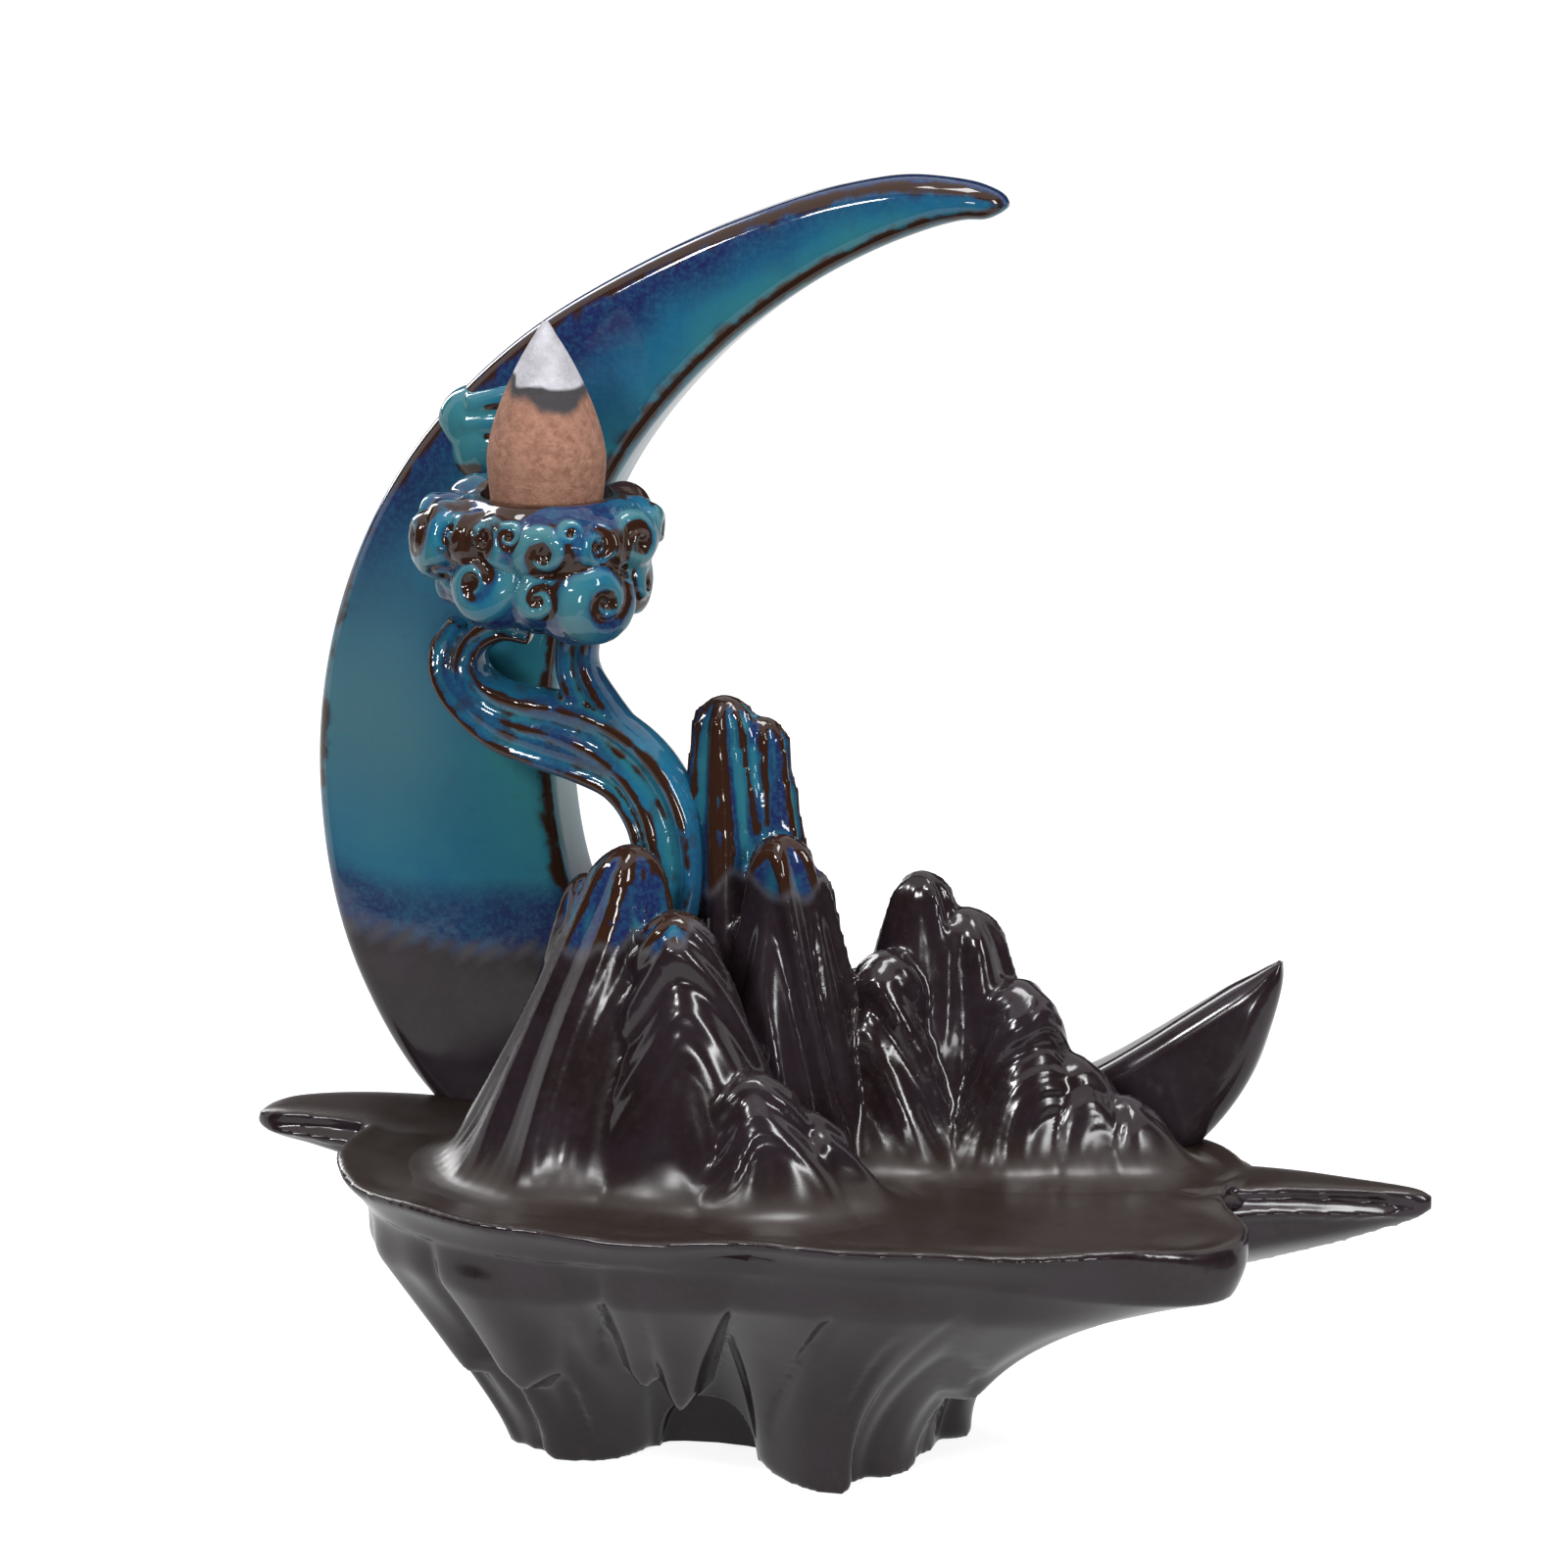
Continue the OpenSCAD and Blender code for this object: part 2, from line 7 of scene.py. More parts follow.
import bmesh
import bpy
import numpy as np
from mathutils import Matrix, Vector


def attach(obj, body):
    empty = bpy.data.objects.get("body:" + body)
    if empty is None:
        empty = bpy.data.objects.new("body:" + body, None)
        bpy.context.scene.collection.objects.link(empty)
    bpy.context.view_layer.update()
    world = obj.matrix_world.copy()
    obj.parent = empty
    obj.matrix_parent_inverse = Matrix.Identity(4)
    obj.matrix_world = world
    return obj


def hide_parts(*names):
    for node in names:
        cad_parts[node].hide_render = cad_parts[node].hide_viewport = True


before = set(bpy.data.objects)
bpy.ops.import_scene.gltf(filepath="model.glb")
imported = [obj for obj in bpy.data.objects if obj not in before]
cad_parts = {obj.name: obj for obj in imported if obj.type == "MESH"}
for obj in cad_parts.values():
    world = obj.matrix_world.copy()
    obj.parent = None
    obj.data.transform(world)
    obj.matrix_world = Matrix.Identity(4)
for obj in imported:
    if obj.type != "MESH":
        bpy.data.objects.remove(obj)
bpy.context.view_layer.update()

MM = 0.001

# Points of one skin that lie nearer than this, in metres, become one
WELD = 3e-7

# Island
ISLAND_LENGTH = 154
PLATE_DEPTH = 72
PLATE_LENGTH = 119
PLATE_Z = 38
RIM = 5
POOL_DEPTH = 0.72
LIP_TUCK = 3.2
FOOT_LENGTH = 53
FOOT_DEPTH = 36
FOOT_WALL = 5
HOLLOW_HEIGHT = 24
NICHE_HEIGHT = 8.5
PLATE_MIDDLE = (-2, 0)
FOOT_MIDDLE = (-12, 4)
NICHE_RIB = 15
SPIKE_ROOT = 28
CREASE_DEPTH = 1.4
ROCK_GRAIN = 0.55

# The island's nose: place and half width along the ribs, and how far it droops
NOSE_RIB = 20
NOSE_HALF = 2.6
NOSE_DROOP = 3

# Crescent
MOON_RADIUS = 78
MOON_WIDTH = 32.4
MOON_THICKNESS = 14
MOON_SINK = 33.7
MOON_BREAK = 3.0
MOON_CROWN = 0.08
MOON_X = 5.2
MOON_Y = 25
MOON_Z = PLATE_Z + MOON_RADIUS - MOON_SINK
MOON_FRONT = MOON_Y - MOON_THICKNESS / 2
GLAZE_LINE = 59.4

# Peaks
PEAK_HEIGHT = 58.5
PEAK_ROOT = 3
PEAK_GRAIN = 0.475

# How far round its top a peak's own teal line holds
TEAL_REACH = 11

# A teal line at this height lies above every peak
NO_TEAL = 999

# Cloud cup
CUP_REACH = 17
WELL_DEPTH = 2.8
CHANNEL = 3.6
LOBE = 4.4
NECK = 7.9
NECK_DROP = 8
STRAND_SWELL = 1.08
CLOUD_GRAIN = 0.36

# The groove along each strand: its depth as a share of the strand's half height, and its spread in radians
GROOVE_DEPTH = 0.62
GROOVE_SPREAD = 0.42

# Where the cup sits on the moon's inner edge, and where the channel comes out below it
CUP_ANGLE = 140.9
CUP_INSET = 0.7
CUP_RISE = 7.2
OUTLET = (1.5, -6.0, -16.0)

# How far beyond the well the scrolls' middles are
SCROLL_REACH = 6.5

# Incense cone
CONE_WIDTH = 15
CONE_HEIGHT = 25.5
CONE_BORE = 3.2
CONE_ROOM = 0.8

# Shares of the cone's height: what the burning has left of it, and where the ash starts
CONE_LEFT = 0.965
ASH_LINE = 0.685

# Angle, then shares of the outer radius, the width and the thickness
CRESCENT = [
    (80.1, 0.980, 0.020, 0.12), (80.7, 0.990, 0.070, 0.26), (82.0, 0.998, 0.120, 0.38),
    (84.5, 1.004, 0.155, 0.48), (90.0, 1.005, 0.240, 0.58), (97.0, 0.990, 0.310, 0.68),
    (107.0, 0.967, 0.395, 0.80), (119.0, 0.957, 0.515, 0.90), (133.0, 0.967, 0.670, 0.97),
    (150.0, 0.982, 0.850, 1.00), (167.0, 0.991, 0.957, 1.00), (184.0, 0.996, 1.000, 1.00),
    (202.0, 1.000, 1.000, 1.00), (220.0, 0.975, 0.930, 1.00), (246.0, 0.865, 0.760, 0.94),
    (276.0, 0.788, 0.585, 0.87), (305.0, 0.774, 0.500, 0.78), (319.0, 0.757, 0.405, 0.66),
    (329.0, 0.725, 0.240, 0.48), (334.5, 0.706, 0.105, 0.28), (337.0, 0.692, 0.020, 0.12),
]

# A point of the plate's edge and the point of the foot below it, as shares
ROCK_RIBS = [
    (0.908, 0.056, 1.000, 0.000), (0.924, 0.333, 0.981, 0.389), (0.807, 0.667, 0.792, 0.778),
    (0.538, 0.889, 0.453, 0.944), (0.202, 0.986, 0.113, 1.000), (-0.168, 1.000, -0.264, 0.972),
    (-0.538, 0.917, -0.642, 0.806), (-0.807, 0.722, -0.887, 0.500), (-0.958, 0.417, -0.981, 0.111),
    (-1.000, 0.056, -1.000, -0.278), (-0.992, -0.250, -0.981, -0.556), (-0.916, -0.528, -0.868, -0.750),
    (-0.765, -0.778, -0.660, -0.778), (-0.555, -0.944, -0.453, -0.667), (-0.336, -1.000, -0.283, -0.472),
    (-0.101, -0.986, 0.000, -0.389), (0.134, -0.958, 0.264, -0.667), (0.370, -0.917, 0.491, -0.944),
    (0.605, -0.861, 0.698, -0.944), (0.824, -0.750, 0.830, -0.639), (0.975, -0.556, 0.925, -0.389),
    (0.992, -0.333, 0.962, -0.222), (0.924, -0.111, 0.991, -0.111),
]

# Place of the tip and of the root along the ribs, half width at each, push, share of height of the tip
DRAPES = [
    (1.2, 1.2, 0.7, 1.5, 4.0, -0.1), (3.6, 3.6, 0.4, 1.3, 7.0, 0.20), (5.9, 5.9, 0.8, 1.3, 7.0, -0.1),
    (8.0, 8.0, 0.4, 1.1, 3.5, 0.25), (9.9, 9.9, 0.6, 1.0, 1.4, -0.1), (11.2, 11.4, 0.3, 0.8, 2.6, 0.34),
    (12.6, 13.6, 1.15, 1.1, 4.6, -0.1), (12.65, 13.1, 0.3, 0.95, 7.2, 0.36),
    (14.25, 14.5, 0.2, 0.4, 6.4, 0.37), (14.66, 14.95, 0.16, 0.62, 8.6, 0.27),
    (16.95, 16.35, 1.0, 1.35, 5.6, -0.1), (19.3, 19.3, 0.7, 0.9, 2.4, -0.1),
    (19.7, 18.4, 0.3, 1.0, 5.6, 0.33), (21.3, 21.3, 0.3, 0.7, 2.0, 0.42),
]
# Creases in the drapes: place along the ribs and share of height, at the top and the foot
CREASES = [
    (16.5, 0.86, 15.98, 0.2), (17.3, 0.7, 17.25, 0.1), (13.05, 0.42, 12.9, 0.08),
    (14.0, 0.8, 13.75, 0.5), (18.6, 0.62, 19.4, 0.42), (12.1, 0.7, 11.9, 0.1), (4.6, 0.8, 4.9, 0.1),
    (6.6, 0.8, 6.2, 0.15), (2.4, 0.8, 2.0, 0.1),
]

# The lip from its underside over the bead to the pool: out from the rim,
# how much further at the nose, and the share of the rim's height
LIP = [
    (-3.1, 2.4, 0.06), (-2.6, 2.5, 0.22), (-1.9, 2.4, 0.42), (-1.2, 1.9, 0.58), (-0.6, 1.2, 0.7),
    (-0.1, 0.6, 0.8), (0.15, 0.3, 0.87), (0.1, 0, 0.94), (-0.3, 0, 0.99), (-0.9, 0, 1.0),
    (-1.6, 0, 0.97), (-2.6, 0, 0.92), (-3.8, 0, 0.90),
]

# Share of the reach, front and back edges, drop of the top, thickness
RIGHT_SPIKE = [
    (0.00, 0.0, 19.0, 2.6, 9.0), (0.25, 0.2, 19.4, 1.4, 12.0), (0.45, 0.8, 18.6, 0.7, 12.6),
    (0.62, 3.2, 16.0, 0.3, 10.8), (0.80, 4.6, 12.6, 0.2, 7.8), (0.94, 6.0, 10.0, 0.3, 4.6),
    (1.00, 7.4, 8.6, 0.9, 2.2),
]
LEFT_SPIKE = [
    (0.00, 0.0, 20.0, 2.6, 9.0), (0.30, -0.5, 23.0, 0.8, 11.0), (0.55, 0.8, 22.0, -0.2, 10.0),
    (0.76, 1.8, 18.4, -0.8, 7.6), (0.93, 3.8, 14.0, -0.6, 5.0), (1.00, 6.4, 10.4, 0.4, 2.4),
]

# Top x, y, base x, y, share of height, base radii, top radius,
# and the height above the ground from which the teal glaze covers it
PEAKS = [
    (-22.3, -8.0, -27.5, -5.0, 0.720, 20.5, 19.0, 5.2, 68),
    (-28.6, -5.0, -31.0, -3.0, 0.640, 13.0, 13.0, 3.4, 68),
    (-15.2, -13.0, -12.5, -12.0, 0.604, 16.5, 13.5, 5.4, 71.5),
    (-4.4, -17.0, -3.4, -15.5, 0.282, 13.5, 10.5, 5.0, NO_TEAL),
    (2.2, -14.5, 4.6, -13.5, 0.190, 9.0, 7.0, 3.2, NO_TEAL),
    (-14.0, 7.0, -12.5, 8.0, 1.000, 13.0, 11.0, 4.2, 74),
    (-9.2, 7.5, -7.5, 8.0, 0.955, 11.0, 11.0, 3.2, 74),
    (-5.2, 1.5, -4.5, 2.0, 0.722, 11.5, 11.0, 4.0, 74),
    (-2.6, 3.0, 0.4, 4.0, 0.650, 9.5, 9.0, 3.2, 74),
    (10.4, 13.0, 10.4, 13.0, 0.610, 13.0, 12.0, 4.4, NO_TEAL),
    (15.9, 14.0, 17.8, 13.0, 0.530, 12.5, 11.0, 4.8, NO_TEAL),
    (7.2, 7.0, 7.0, 5.5, 0.455, 11.5, 9.0, 4.6, NO_TEAL),
    (0.8, 5.0, 1.4, 4.5, 0.300, 9.0, 7.5, 3.6, NO_TEAL),
    (23.4, 11.0, 24.0, 10.0, 0.390, 12.5, 10.5, 4.8, NO_TEAL),
    (30.4, 11.0, 31.8, 9.5, 0.230, 10.0, 8.5, 4.0, NO_TEAL),
    (37.2, 11.0, 39.2, 10.5, 0.145, 8.5, 7.0, 3.2, NO_TEAL),
]

# For each peak: the bearing its hoods face, folds round half of it, folds from foot to
# top and how late they fall, the depth of the folds (minus for thin ridges) and of the
# strands on them, how the flanks flare, and the share of the top's radius
FLOW = [
    (-50, 4.5, 0.4, 1.5, -1.2, 0.45, 1.15, 0.70), (-150, 5.5, 0.3, 1.5, -1.4, 0.25, 1.2, 0.75),
    (-85, 3.4, 2.6, 4.0, 1.2, 0.40, 1.15, 0.68), (-78, 2.7, 1.6, 2.6, 1.3, 0.85, 1.1, 0.70),
    (-40, 2.6, 1.3, 2.4, 1.3, 0.22, 1.2, 0.85), (-90, 5.0, 0.2, 1.5, -1.8, 0.0, 1.15, 0.80),
    (-80, 4.6, 0.2, 1.5, -1.7, 0.0, 1.15, 0.80), (-100, 3.6, 0.8, 3.0, -1.7, 0.10, 1.2, 0.86),
    (-60, 3.6, 0.6, 3.0, -1.5, 0.10, 1.2, 0.86), (-110, 3.4, 0.5, 3.0, -1.5, 0.35, 1.05, 0.66),
    (-60, 3.6, 0.3, 1.5, -1.3, 0.35, 1.2, 0.85), (-100, 2.9, 1.8, 2.4, 1.2, 0.95, 1.1, 0.72),
    (-120, 2.6, 1.2, 2.2, 1.4, 0.20, 1.2, 0.85), (-38, 2.8, 1.7, 2.2, 1.1, 0.95, 1.15, 0.75),
    (-45, 2.7, 1.4, 2.2, 0.9, 0.80, 1.2, 0.85), (-60, 2.5, 1.0, 2.0, 1.1, 0.16, 1.2, 0.9),
]

# Drop below the rim and radius beyond the well's
CLOUD = [(17.4, -5.0), (15.4, -0.8), (12.0, 2.6), (8.0, 4.0), (4.0, 4.2), (1.2, 3.2), (0, 1.6)]
# Lobes: bearing, distance beyond the well, drop, share of the lobe's radius
LOBES = [
    (182, 4.2, 4.6, 1.00), (209, 4.0, 5.2, 1.15), (236, 2.8, 4.8, 0.92), (258, 2.4, 4.6, 0.88),
    (280, 2.4, 4.8, 0.88), (301, 2.6, 4.8, 0.92), (324, 2.2, 5.0, 0.90), (345, 2.4, 4.8, 0.95),
    (12, 2.4, 4.2, 0.92), (40, 2.2, 3.0, 0.85), (158, 2.8, 2.8, 0.95), (132, 2.4, 1.6, 0.90),
    (200, 0.6, 10.0, 1.15), (245, 1.2, 10.2, 1.30), (278, 0.6, 11.0, 1.05), (313, 1.0, 11.4, 1.45),
    (350, 0.6, 10.4, 1.15),
]
# Scrolls in relief: bearing, drop, radius, hand, start
SCROLLS = [
    (209, 5.0, 5.6, -1, 200), (247, 9.4, 5.6, -1, 230), (314, 11.2, 6.6, -1, 160), (281, 11.4, 3.2, 1, 90),
    (252, 3.6, 3.6, 1, 250), (284, 5.2, 4.4, -1, 60), (312, 4.4, 3.4, -1, 190),
    (341, 4.8, 4.6, -1, 300), (231, 3.2, 2.8, -1, 60), (266, 3.0, 2.2, -1, 20), (298, 2.6, 2.0, 1, 200),
    (220, 9.6, 3.2, 1, 90), (192, 10.2, 4.6, -1, 200), (180, 4.8, 4.6, 1, 120), (352, 10.6, 4.6, 1, 250),
    (12, 4.4, 4.2, -1, 100), (332, 8.2, 2.4, 1, 10),
]
# Wisps on the moon's face: x, out, z and radius at the cloud, then at the outer edge
WISPS = [
    (-4.0, 1.4, 10.6, 1.6, -15.0, 1.0, 7.6, 1.8), (-4.0, 1.6, 6.6, 1.6, -15.4, 1.2, 5.2, 2.0),
    (-4.0, 1.4, 2.6, 1.7, -15.0, 1.2, 2.8, 2.1), (-4.0, 1.4, -1.2, 1.8, -13.4, 0.4, 0.6, 1.9),
]
# Balls that round the wisps off at the moon's edge: x, depth behind the face, z, radius and squash
WISP_ENDS = [
    (-15.2, 3.0, 5.2, 5.1, (0.98, 0.86, 0.96)),
    (-14.0, 2.8, 2.2, 5.0, (0.9, 1.0, 1.1)),
]
# Along and out from the moon's face, up from the cup's rim, then half the height and half the depth
STREAM_OUTER = [
    (-14.4, 8.0, -18.8, 1.2, 2.0), (-15.9, 8.0, -21.6, 1.9, 4.6), (-15.4, 8.2, -25.4, 2.2, 6.0),
    (-12.4, 8.6, -29.2, 2.4, 6.6), (-7.8, 9.2, -32.3, 2.6, 6.6), (-2.4, 10.2, -34.0, 2.6, 6.0),
    (3.2, 11.4, -35.4, 2.6, 5.4), (8.4, 12.4, -37.6, 2.6, 5.0), (11.8, 13.2, -42.0, 2.6, 4.6),
    (13.4, 14.0, -48.5, 2.4, 4.0),
]
STREAM_INNER = [
    (-4.0, 10.5, -19.6, 1.3, 1.8), (-7.8, 10.6, -18.8, 1.6, 2.6), (-11.2, 10.4, -20.6, 1.8, 3.4),
    (-12.3, 10.2, -23.9, 2.0, 4.2), (-10.2, 10.2, -27.3, 2.4, 4.8), (-5.6, 10.6, -29.2, 2.8, 5.2),
    (0.8, 11.4, -30.0, 3.2, 5.4), (6.8, 12.2, -32.0, 3.6, 5.4), (11.8, 12.8, -36.0, 3.8, 5.2),
    (15.0, 13.4, -41.6, 3.8, 5.0), (16.2, 14.2, -48.6, 3.6, 4.6), (15.6, 15.0, -54.0, 3.2, 4.2),
]
STREAM_FALL = [
    (3.4, 12.0, -13.5, 3.2, 4.0), (2.6, 11.8, -18.5, 2.6, 3.6), (2.4, 11.6, -23.5, 2.6, 3.8),
    (5.0, 12.0, -28.5, 3.0, 4.4), (9.2, 12.6, -33.5, 3.0, 4.6),
]


# Curves

def ease(t):
    """Smooth rise from 0 to 1."""
    u = min(1.0, max(0.0, t))
    return u * u * (3 - 2 * u)


def lerp(a, b, t):
    return a + (b - a) * t


def curve_point(p0, p1, p2, p3, t):
    """Point of the smooth curve that runs from p1 to p2."""
    return [0.5 * (2 * b + (c - a) * t + (2 * a - 5 * b + 4 * c - d) * t * t
                   + (3 * b - a - 3 * c + d) * t ** 3) for a, b, c, d in zip(p0, p1, p2, p3)]


def open_curve(points, steps):
    """Smooth curve through the points, with the given number of steps from each to the next."""
    last = len(points) - 1
    curve = [curve_point(points[max(0, i - 1)], points[i], points[i + 1], points[min(last, i + 2)], k / steps)
             for i in range(last) for k in range(steps)]
    return curve + [list(points[last])]


def loop_point(points, u):
    """Point of the smooth closed curve through the points; u counts the points passed."""
    n, i = len(points), int(math.floor(u))
    return curve_point(points[(i - 1) % n], points[i % n], points[(i + 1) % n], points[(i + 2) % n], u - i)


def share_at(angle, column):
    """A crescent share at an angle, straight between two stations."""
    for a, b in zip(CRESCENT, CRESCENT[1:]):
        if a[0] <= angle <= b[0]:
            return lerp(a[column], b[column], (angle - a[0]) / (b[0] - a[0]))


def round_angles(n):
    """The angles of n even steps round a circle."""
    return [2 * math.pi * i / n for i in range(n)]


# Where the cup and its well come to lie

INNER_EDGE = MOON_RADIUS * share_at(CUP_ANGLE, 1) - MOON_WIDTH * share_at(CUP_ANGLE, 2)
CUP_X = MOON_X + (INNER_EDGE + CUP_INSET) * math.cos(math.radians(CUP_ANGLE))
CUP_Y = MOON_FRONT - CUP_REACH
RIM_Z = MOON_Z + (INNER_EDGE + CUP_INSET) * math.sin(math.radians(CUP_ANGLE)) + CUP_RISE
WELL_RADIUS = CONE_WIDTH / 2 + CONE_ROOM
WELL_Z = RIM_Z - WELL_DEPTH


# Meshes

def skin(bm, rings):
    """Bends a grid into a closed tube through rings of equal length, and closes its ends."""
    around, along = len(rings[0]), len(rings) - 1
    grid = bmesh.ops.create_grid(bm, x_segments=around, y_segments=along, size=1.0)["verts"]
    for v in grid:
        i, j = round((v.co.x + 1) / 2 * around) % around, round((v.co.y + 1) / 2 * along)
        v.co = Vector(rings[j][i]) * MM
    bmesh.ops.remove_doubles(bm, verts=grid, dist=WELD)
    bmesh.ops.holes_fill(bm, edges=[e for e in bm.edges if e.is_boundary], sides=0)


def finished(bm, name):
    """The bmesh as an object of the scene, its faces turned outwards."""
    bmesh.ops.recalc_face_normals(bm, faces=bm.faces)
    mesh = bpy.data.meshes.new(name)
    bm.to_mesh(mesh)
    bm.free()
    piece = bpy.data.objects.new(name, mesh)
    bpy.context.scene.collection.objects.link(piece)
    for polygon in mesh.polygons:
        polygon.use_smooth = True
    return piece


def settle(piece):
    """Puts the result of the piece's modifiers into its mesh."""
    graph = bpy.context.evaluated_depsgraph_get()
    mesh = bpy.data.meshes.new_from_object(piece.evaluated_get(graph))
    old = piece.data
    piece.modifiers.clear()
    piece.data = mesh
    bpy.data.meshes.remove(old)
    for polygon in mesh.polygons:
        polygon.use_smooth = True


def fuse(piece, grain, rounds):
    """Melts the overlapping skins into one wall and softens it, as the slip and glaze do."""
    melt = piece.modifiers.new("melt", 'REMESH')
    melt.mode = 'VOXEL'
    melt.voxel_size = grain * MM
    melt.use_smooth_shade = True
    soft = piece.modifiers.new("soften", 'SMOOTH')
    soft.factor = 0.5
    soft.iterations = rounds
    settle(piece)


def carve(piece, cutter):
    """Takes the cutter's room out of the piece."""
    cut = piece.modifiers.new("carve", 'BOOLEAN')
    cut.operation = 'DIFFERENCE'
    cut.solver = 'MANIFOLD'
    cut.object = cutter
    settle(piece)
    bpy.data.objects.remove(cutter)


# What is read from a mesh and painted on it

def places(mesh):
    """The place of every vertex in millimetres, a row each."""
    values = np.empty(len(mesh.vertices) * 3, np.float32)
    mesh.vertices.foreach_get("co", values)
    return values.reshape(-1, 3).astype(float) / MM


def facings(mesh):
    """The direction that every vertex faces, a row each."""
    values = np.empty(len(mesh.vertices) * 3, np.float32)
    mesh.vertex_normals.foreach_get("vector", values)
    return values.reshape(-1, 3).astype(float)


def spread(mesh, values, rounds):
    """Evens vertex values out over their neighbours."""
    n = len(mesh.vertices)
    ends = np.empty(len(mesh.edges) * 2, np.int32)
    mesh.edges.foreach_get("vertices", ends)
    a, b = ends[0::2], ends[1::2]
    count = np.maximum(np.bincount(a, minlength=n) + np.bincount(b, minlength=n), 1)
    for _ in range(rounds):
        if values.ndim == 1:
            total = np.bincount(a, values[b], n) + np.bincount(b, values[a], n)
            values = 0.5 * values + 0.5 * total / count
        else:
            values = np.stack([spread(mesh, values[:, k], 1) for k in range(values.shape[1])], 1)
    return values


def ridges(mesh, reach):
    """How far each point stands out from the form round it, in millimetres: ridges plus, creases minus."""
    co = places(mesh)
    return ((co - spread(mesh, co, reach)) * facings(mesh)).sum(1)


def note(mesh, name, values):
    """Paints a value on every vertex, under a name that the finishes look up."""
    layer = mesh.attributes.new(name, 'FLOAT', 'POINT')
    layer.data.foreach_set("value", np.asarray(values, np.float32))


def step(low, high, x):
    """Smooth rise from 0 at low to 1 at high; low may be the greater, and then it falls."""
    t = np.clip((x - low) / (high - low), 0, 1)
    return t * t * (3 - 2 * t)


def hump(x, middle, half, power=2):
    """Smooth hump of height 1 round the middle."""
    return np.exp(-((x - middle) / half) ** power)


def wave(co, sizes):
    """A smooth, fixed unevenness from a few crossing sine waves, from about -1 to 1."""
    total = 0
    for k, s in enumerate(sizes):
        a = 1.3 + 2.1 * k
        total = total + np.sin(co[:, 0] / s + 1.7 * np.sin(co[:, 1] / (1.3 * s) + a)
                               + 0.9 * np.cos(co[:, 2] / (0.8 * s) + 2 * a) + a)
    return total / len(sizes)


# The moon

def moon_section(half_w, half_t):
    """Oblong with rounded corners and crowned faces."""
    r = min(MOON_BREAK, half_w * 0.96, half_t * 0.96)
    flat, crown = half_w - r, half_t * MOON_CROWN
    points = []
    for q in range(4):
        sx, sy = (1 if q in (0, 3) else -1), (1 if q < 2 else -1)
        for k in range(11):
            a = math.radians(q * 90 + k * 9)
            x = sx * flat + r * math.cos(a)
            points.append((x, sy * (half_t - r + crown * (1 - (x / half_w) ** 2)) + r * math.sin(a)))
        if q % 2 == 0:
            for k in range(4, -5, -1):
                x = sx * k / 5 * flat
                points.append((x, sy * (half_t + crown * (1 - (x / half_w) ** 2))))
    return points


def moon_rings():
    rings = []
    for angle, outer, width, thick in open_curve(CRESCENT, 14):
        half_w, half_t = MOON_WIDTH * width / 2, MOON_THICKNESS * thick / 2
        middle = MOON_RADIUS * outer - half_w
        c, s = math.cos(math.radians(angle)), math.sin(math.radians(angle))
        rings.append([(MOON_X + (middle + x) * c, MOON_Y + y, MOON_Z + (middle + x) * s)
                      for x, y in moon_section(half_w, half_t)])
    return rings


def paint_moon(mesh):
    """Notes the glaze line, the brown edges, the greener and bluer runs of the teal, and a paler band near
    the outer edge that is a painted reflection.
    """
    co = places(mesh)
    x, y, z = co.T
    angle = np.degrees(np.arctan2(z - MOON_Z, x - MOON_X)) % 360
    outer, width = (np.interp(angle, [s[0] for s in CRESCENT], [s[k] for s in CRESCENT]) for k in (1, 2))
    from_edge = MOON_RADIUS * outer - np.hypot(z - MOON_Z, x - MOON_X)
    across = from_edge / np.maximum(MOON_WIDTH * width, 1.0)
    shore = GLAZE_LINE + 0.9 * np.sin(x / 5.5 + 1.0) + 0.35 * np.sin(x / 1.9) + 0.3 * np.sin(y / 3)
    horn = step(28, 32, x) * step(80, 76, z)
    run = wave(co, (14, 7))
    face = np.abs(facings(mesh)[:, 1])
    note(mesh, "teal", step(-0.35, 0.35, z - shore) * (1 - horn))
    note(mesh, "shore", hump(z - shore, -0.3, 0.5) * (1 - horn))
    note(mesh, "broken", hump(face, 0.68, 0.26) * step(-1.2, -0.4, wave(co, (16, 7))))
    # Painted reflection: a paler teal band along the outer edge at mid height stands in for a broad soft
    # sheen on the face
    note(mesh, "pale_and_sheen", 0.8 * hump(z, 90, 17) * step(0.85, 0.2, across + 0.1 * run))
    note(mesh, "green", 0.75 * step(0.45, 0.95, across + 0.1 * run) + 0.5 * hump(z, 82, 14)
         - 0.3 * step(0.3, 0.0, across) + 0.2 * run)
    note(mesh, "navy", step(0.75, 0.05, across + 0.08 * run) * step(98, 128, z)
         - 0.4 * step(104, 86, z) * step(64, 70, z) + 1.1 * step(72, 64, z + 1.2 * run)
         + 0.3 * step(0.3, 0.0, across) + 0.35 * step(0.25, 0.75, run) * step(120, 90, z))


def make_moon():
    bm = bmesh.new()
    skin(bm, moon_rings())
    moon = finished(bm, "moon")
    paint_moon(moon.data)
    return moon


# The cloud cup and the stream

def ball(bm, centre, radius, squash=(1, 1, 1), fine=20):
    verts = bmesh.ops.create_uvsphere(bm, u_segments=fine, v_segments=fine // 2 + 2,
                                      radius=radius * MM)["verts"]
    bmesh.ops.scale(bm, vec=Vector(squash), verts=verts)
    bmesh.ops.translate(bm, vec=Vector(centre) * MM, verts=verts)


def way(path, i):
    """Direction of a path at one of its points."""
    return (path[min(i + 1, len(path) - 1)] - path[max(i - 1, 0)]).normalized()


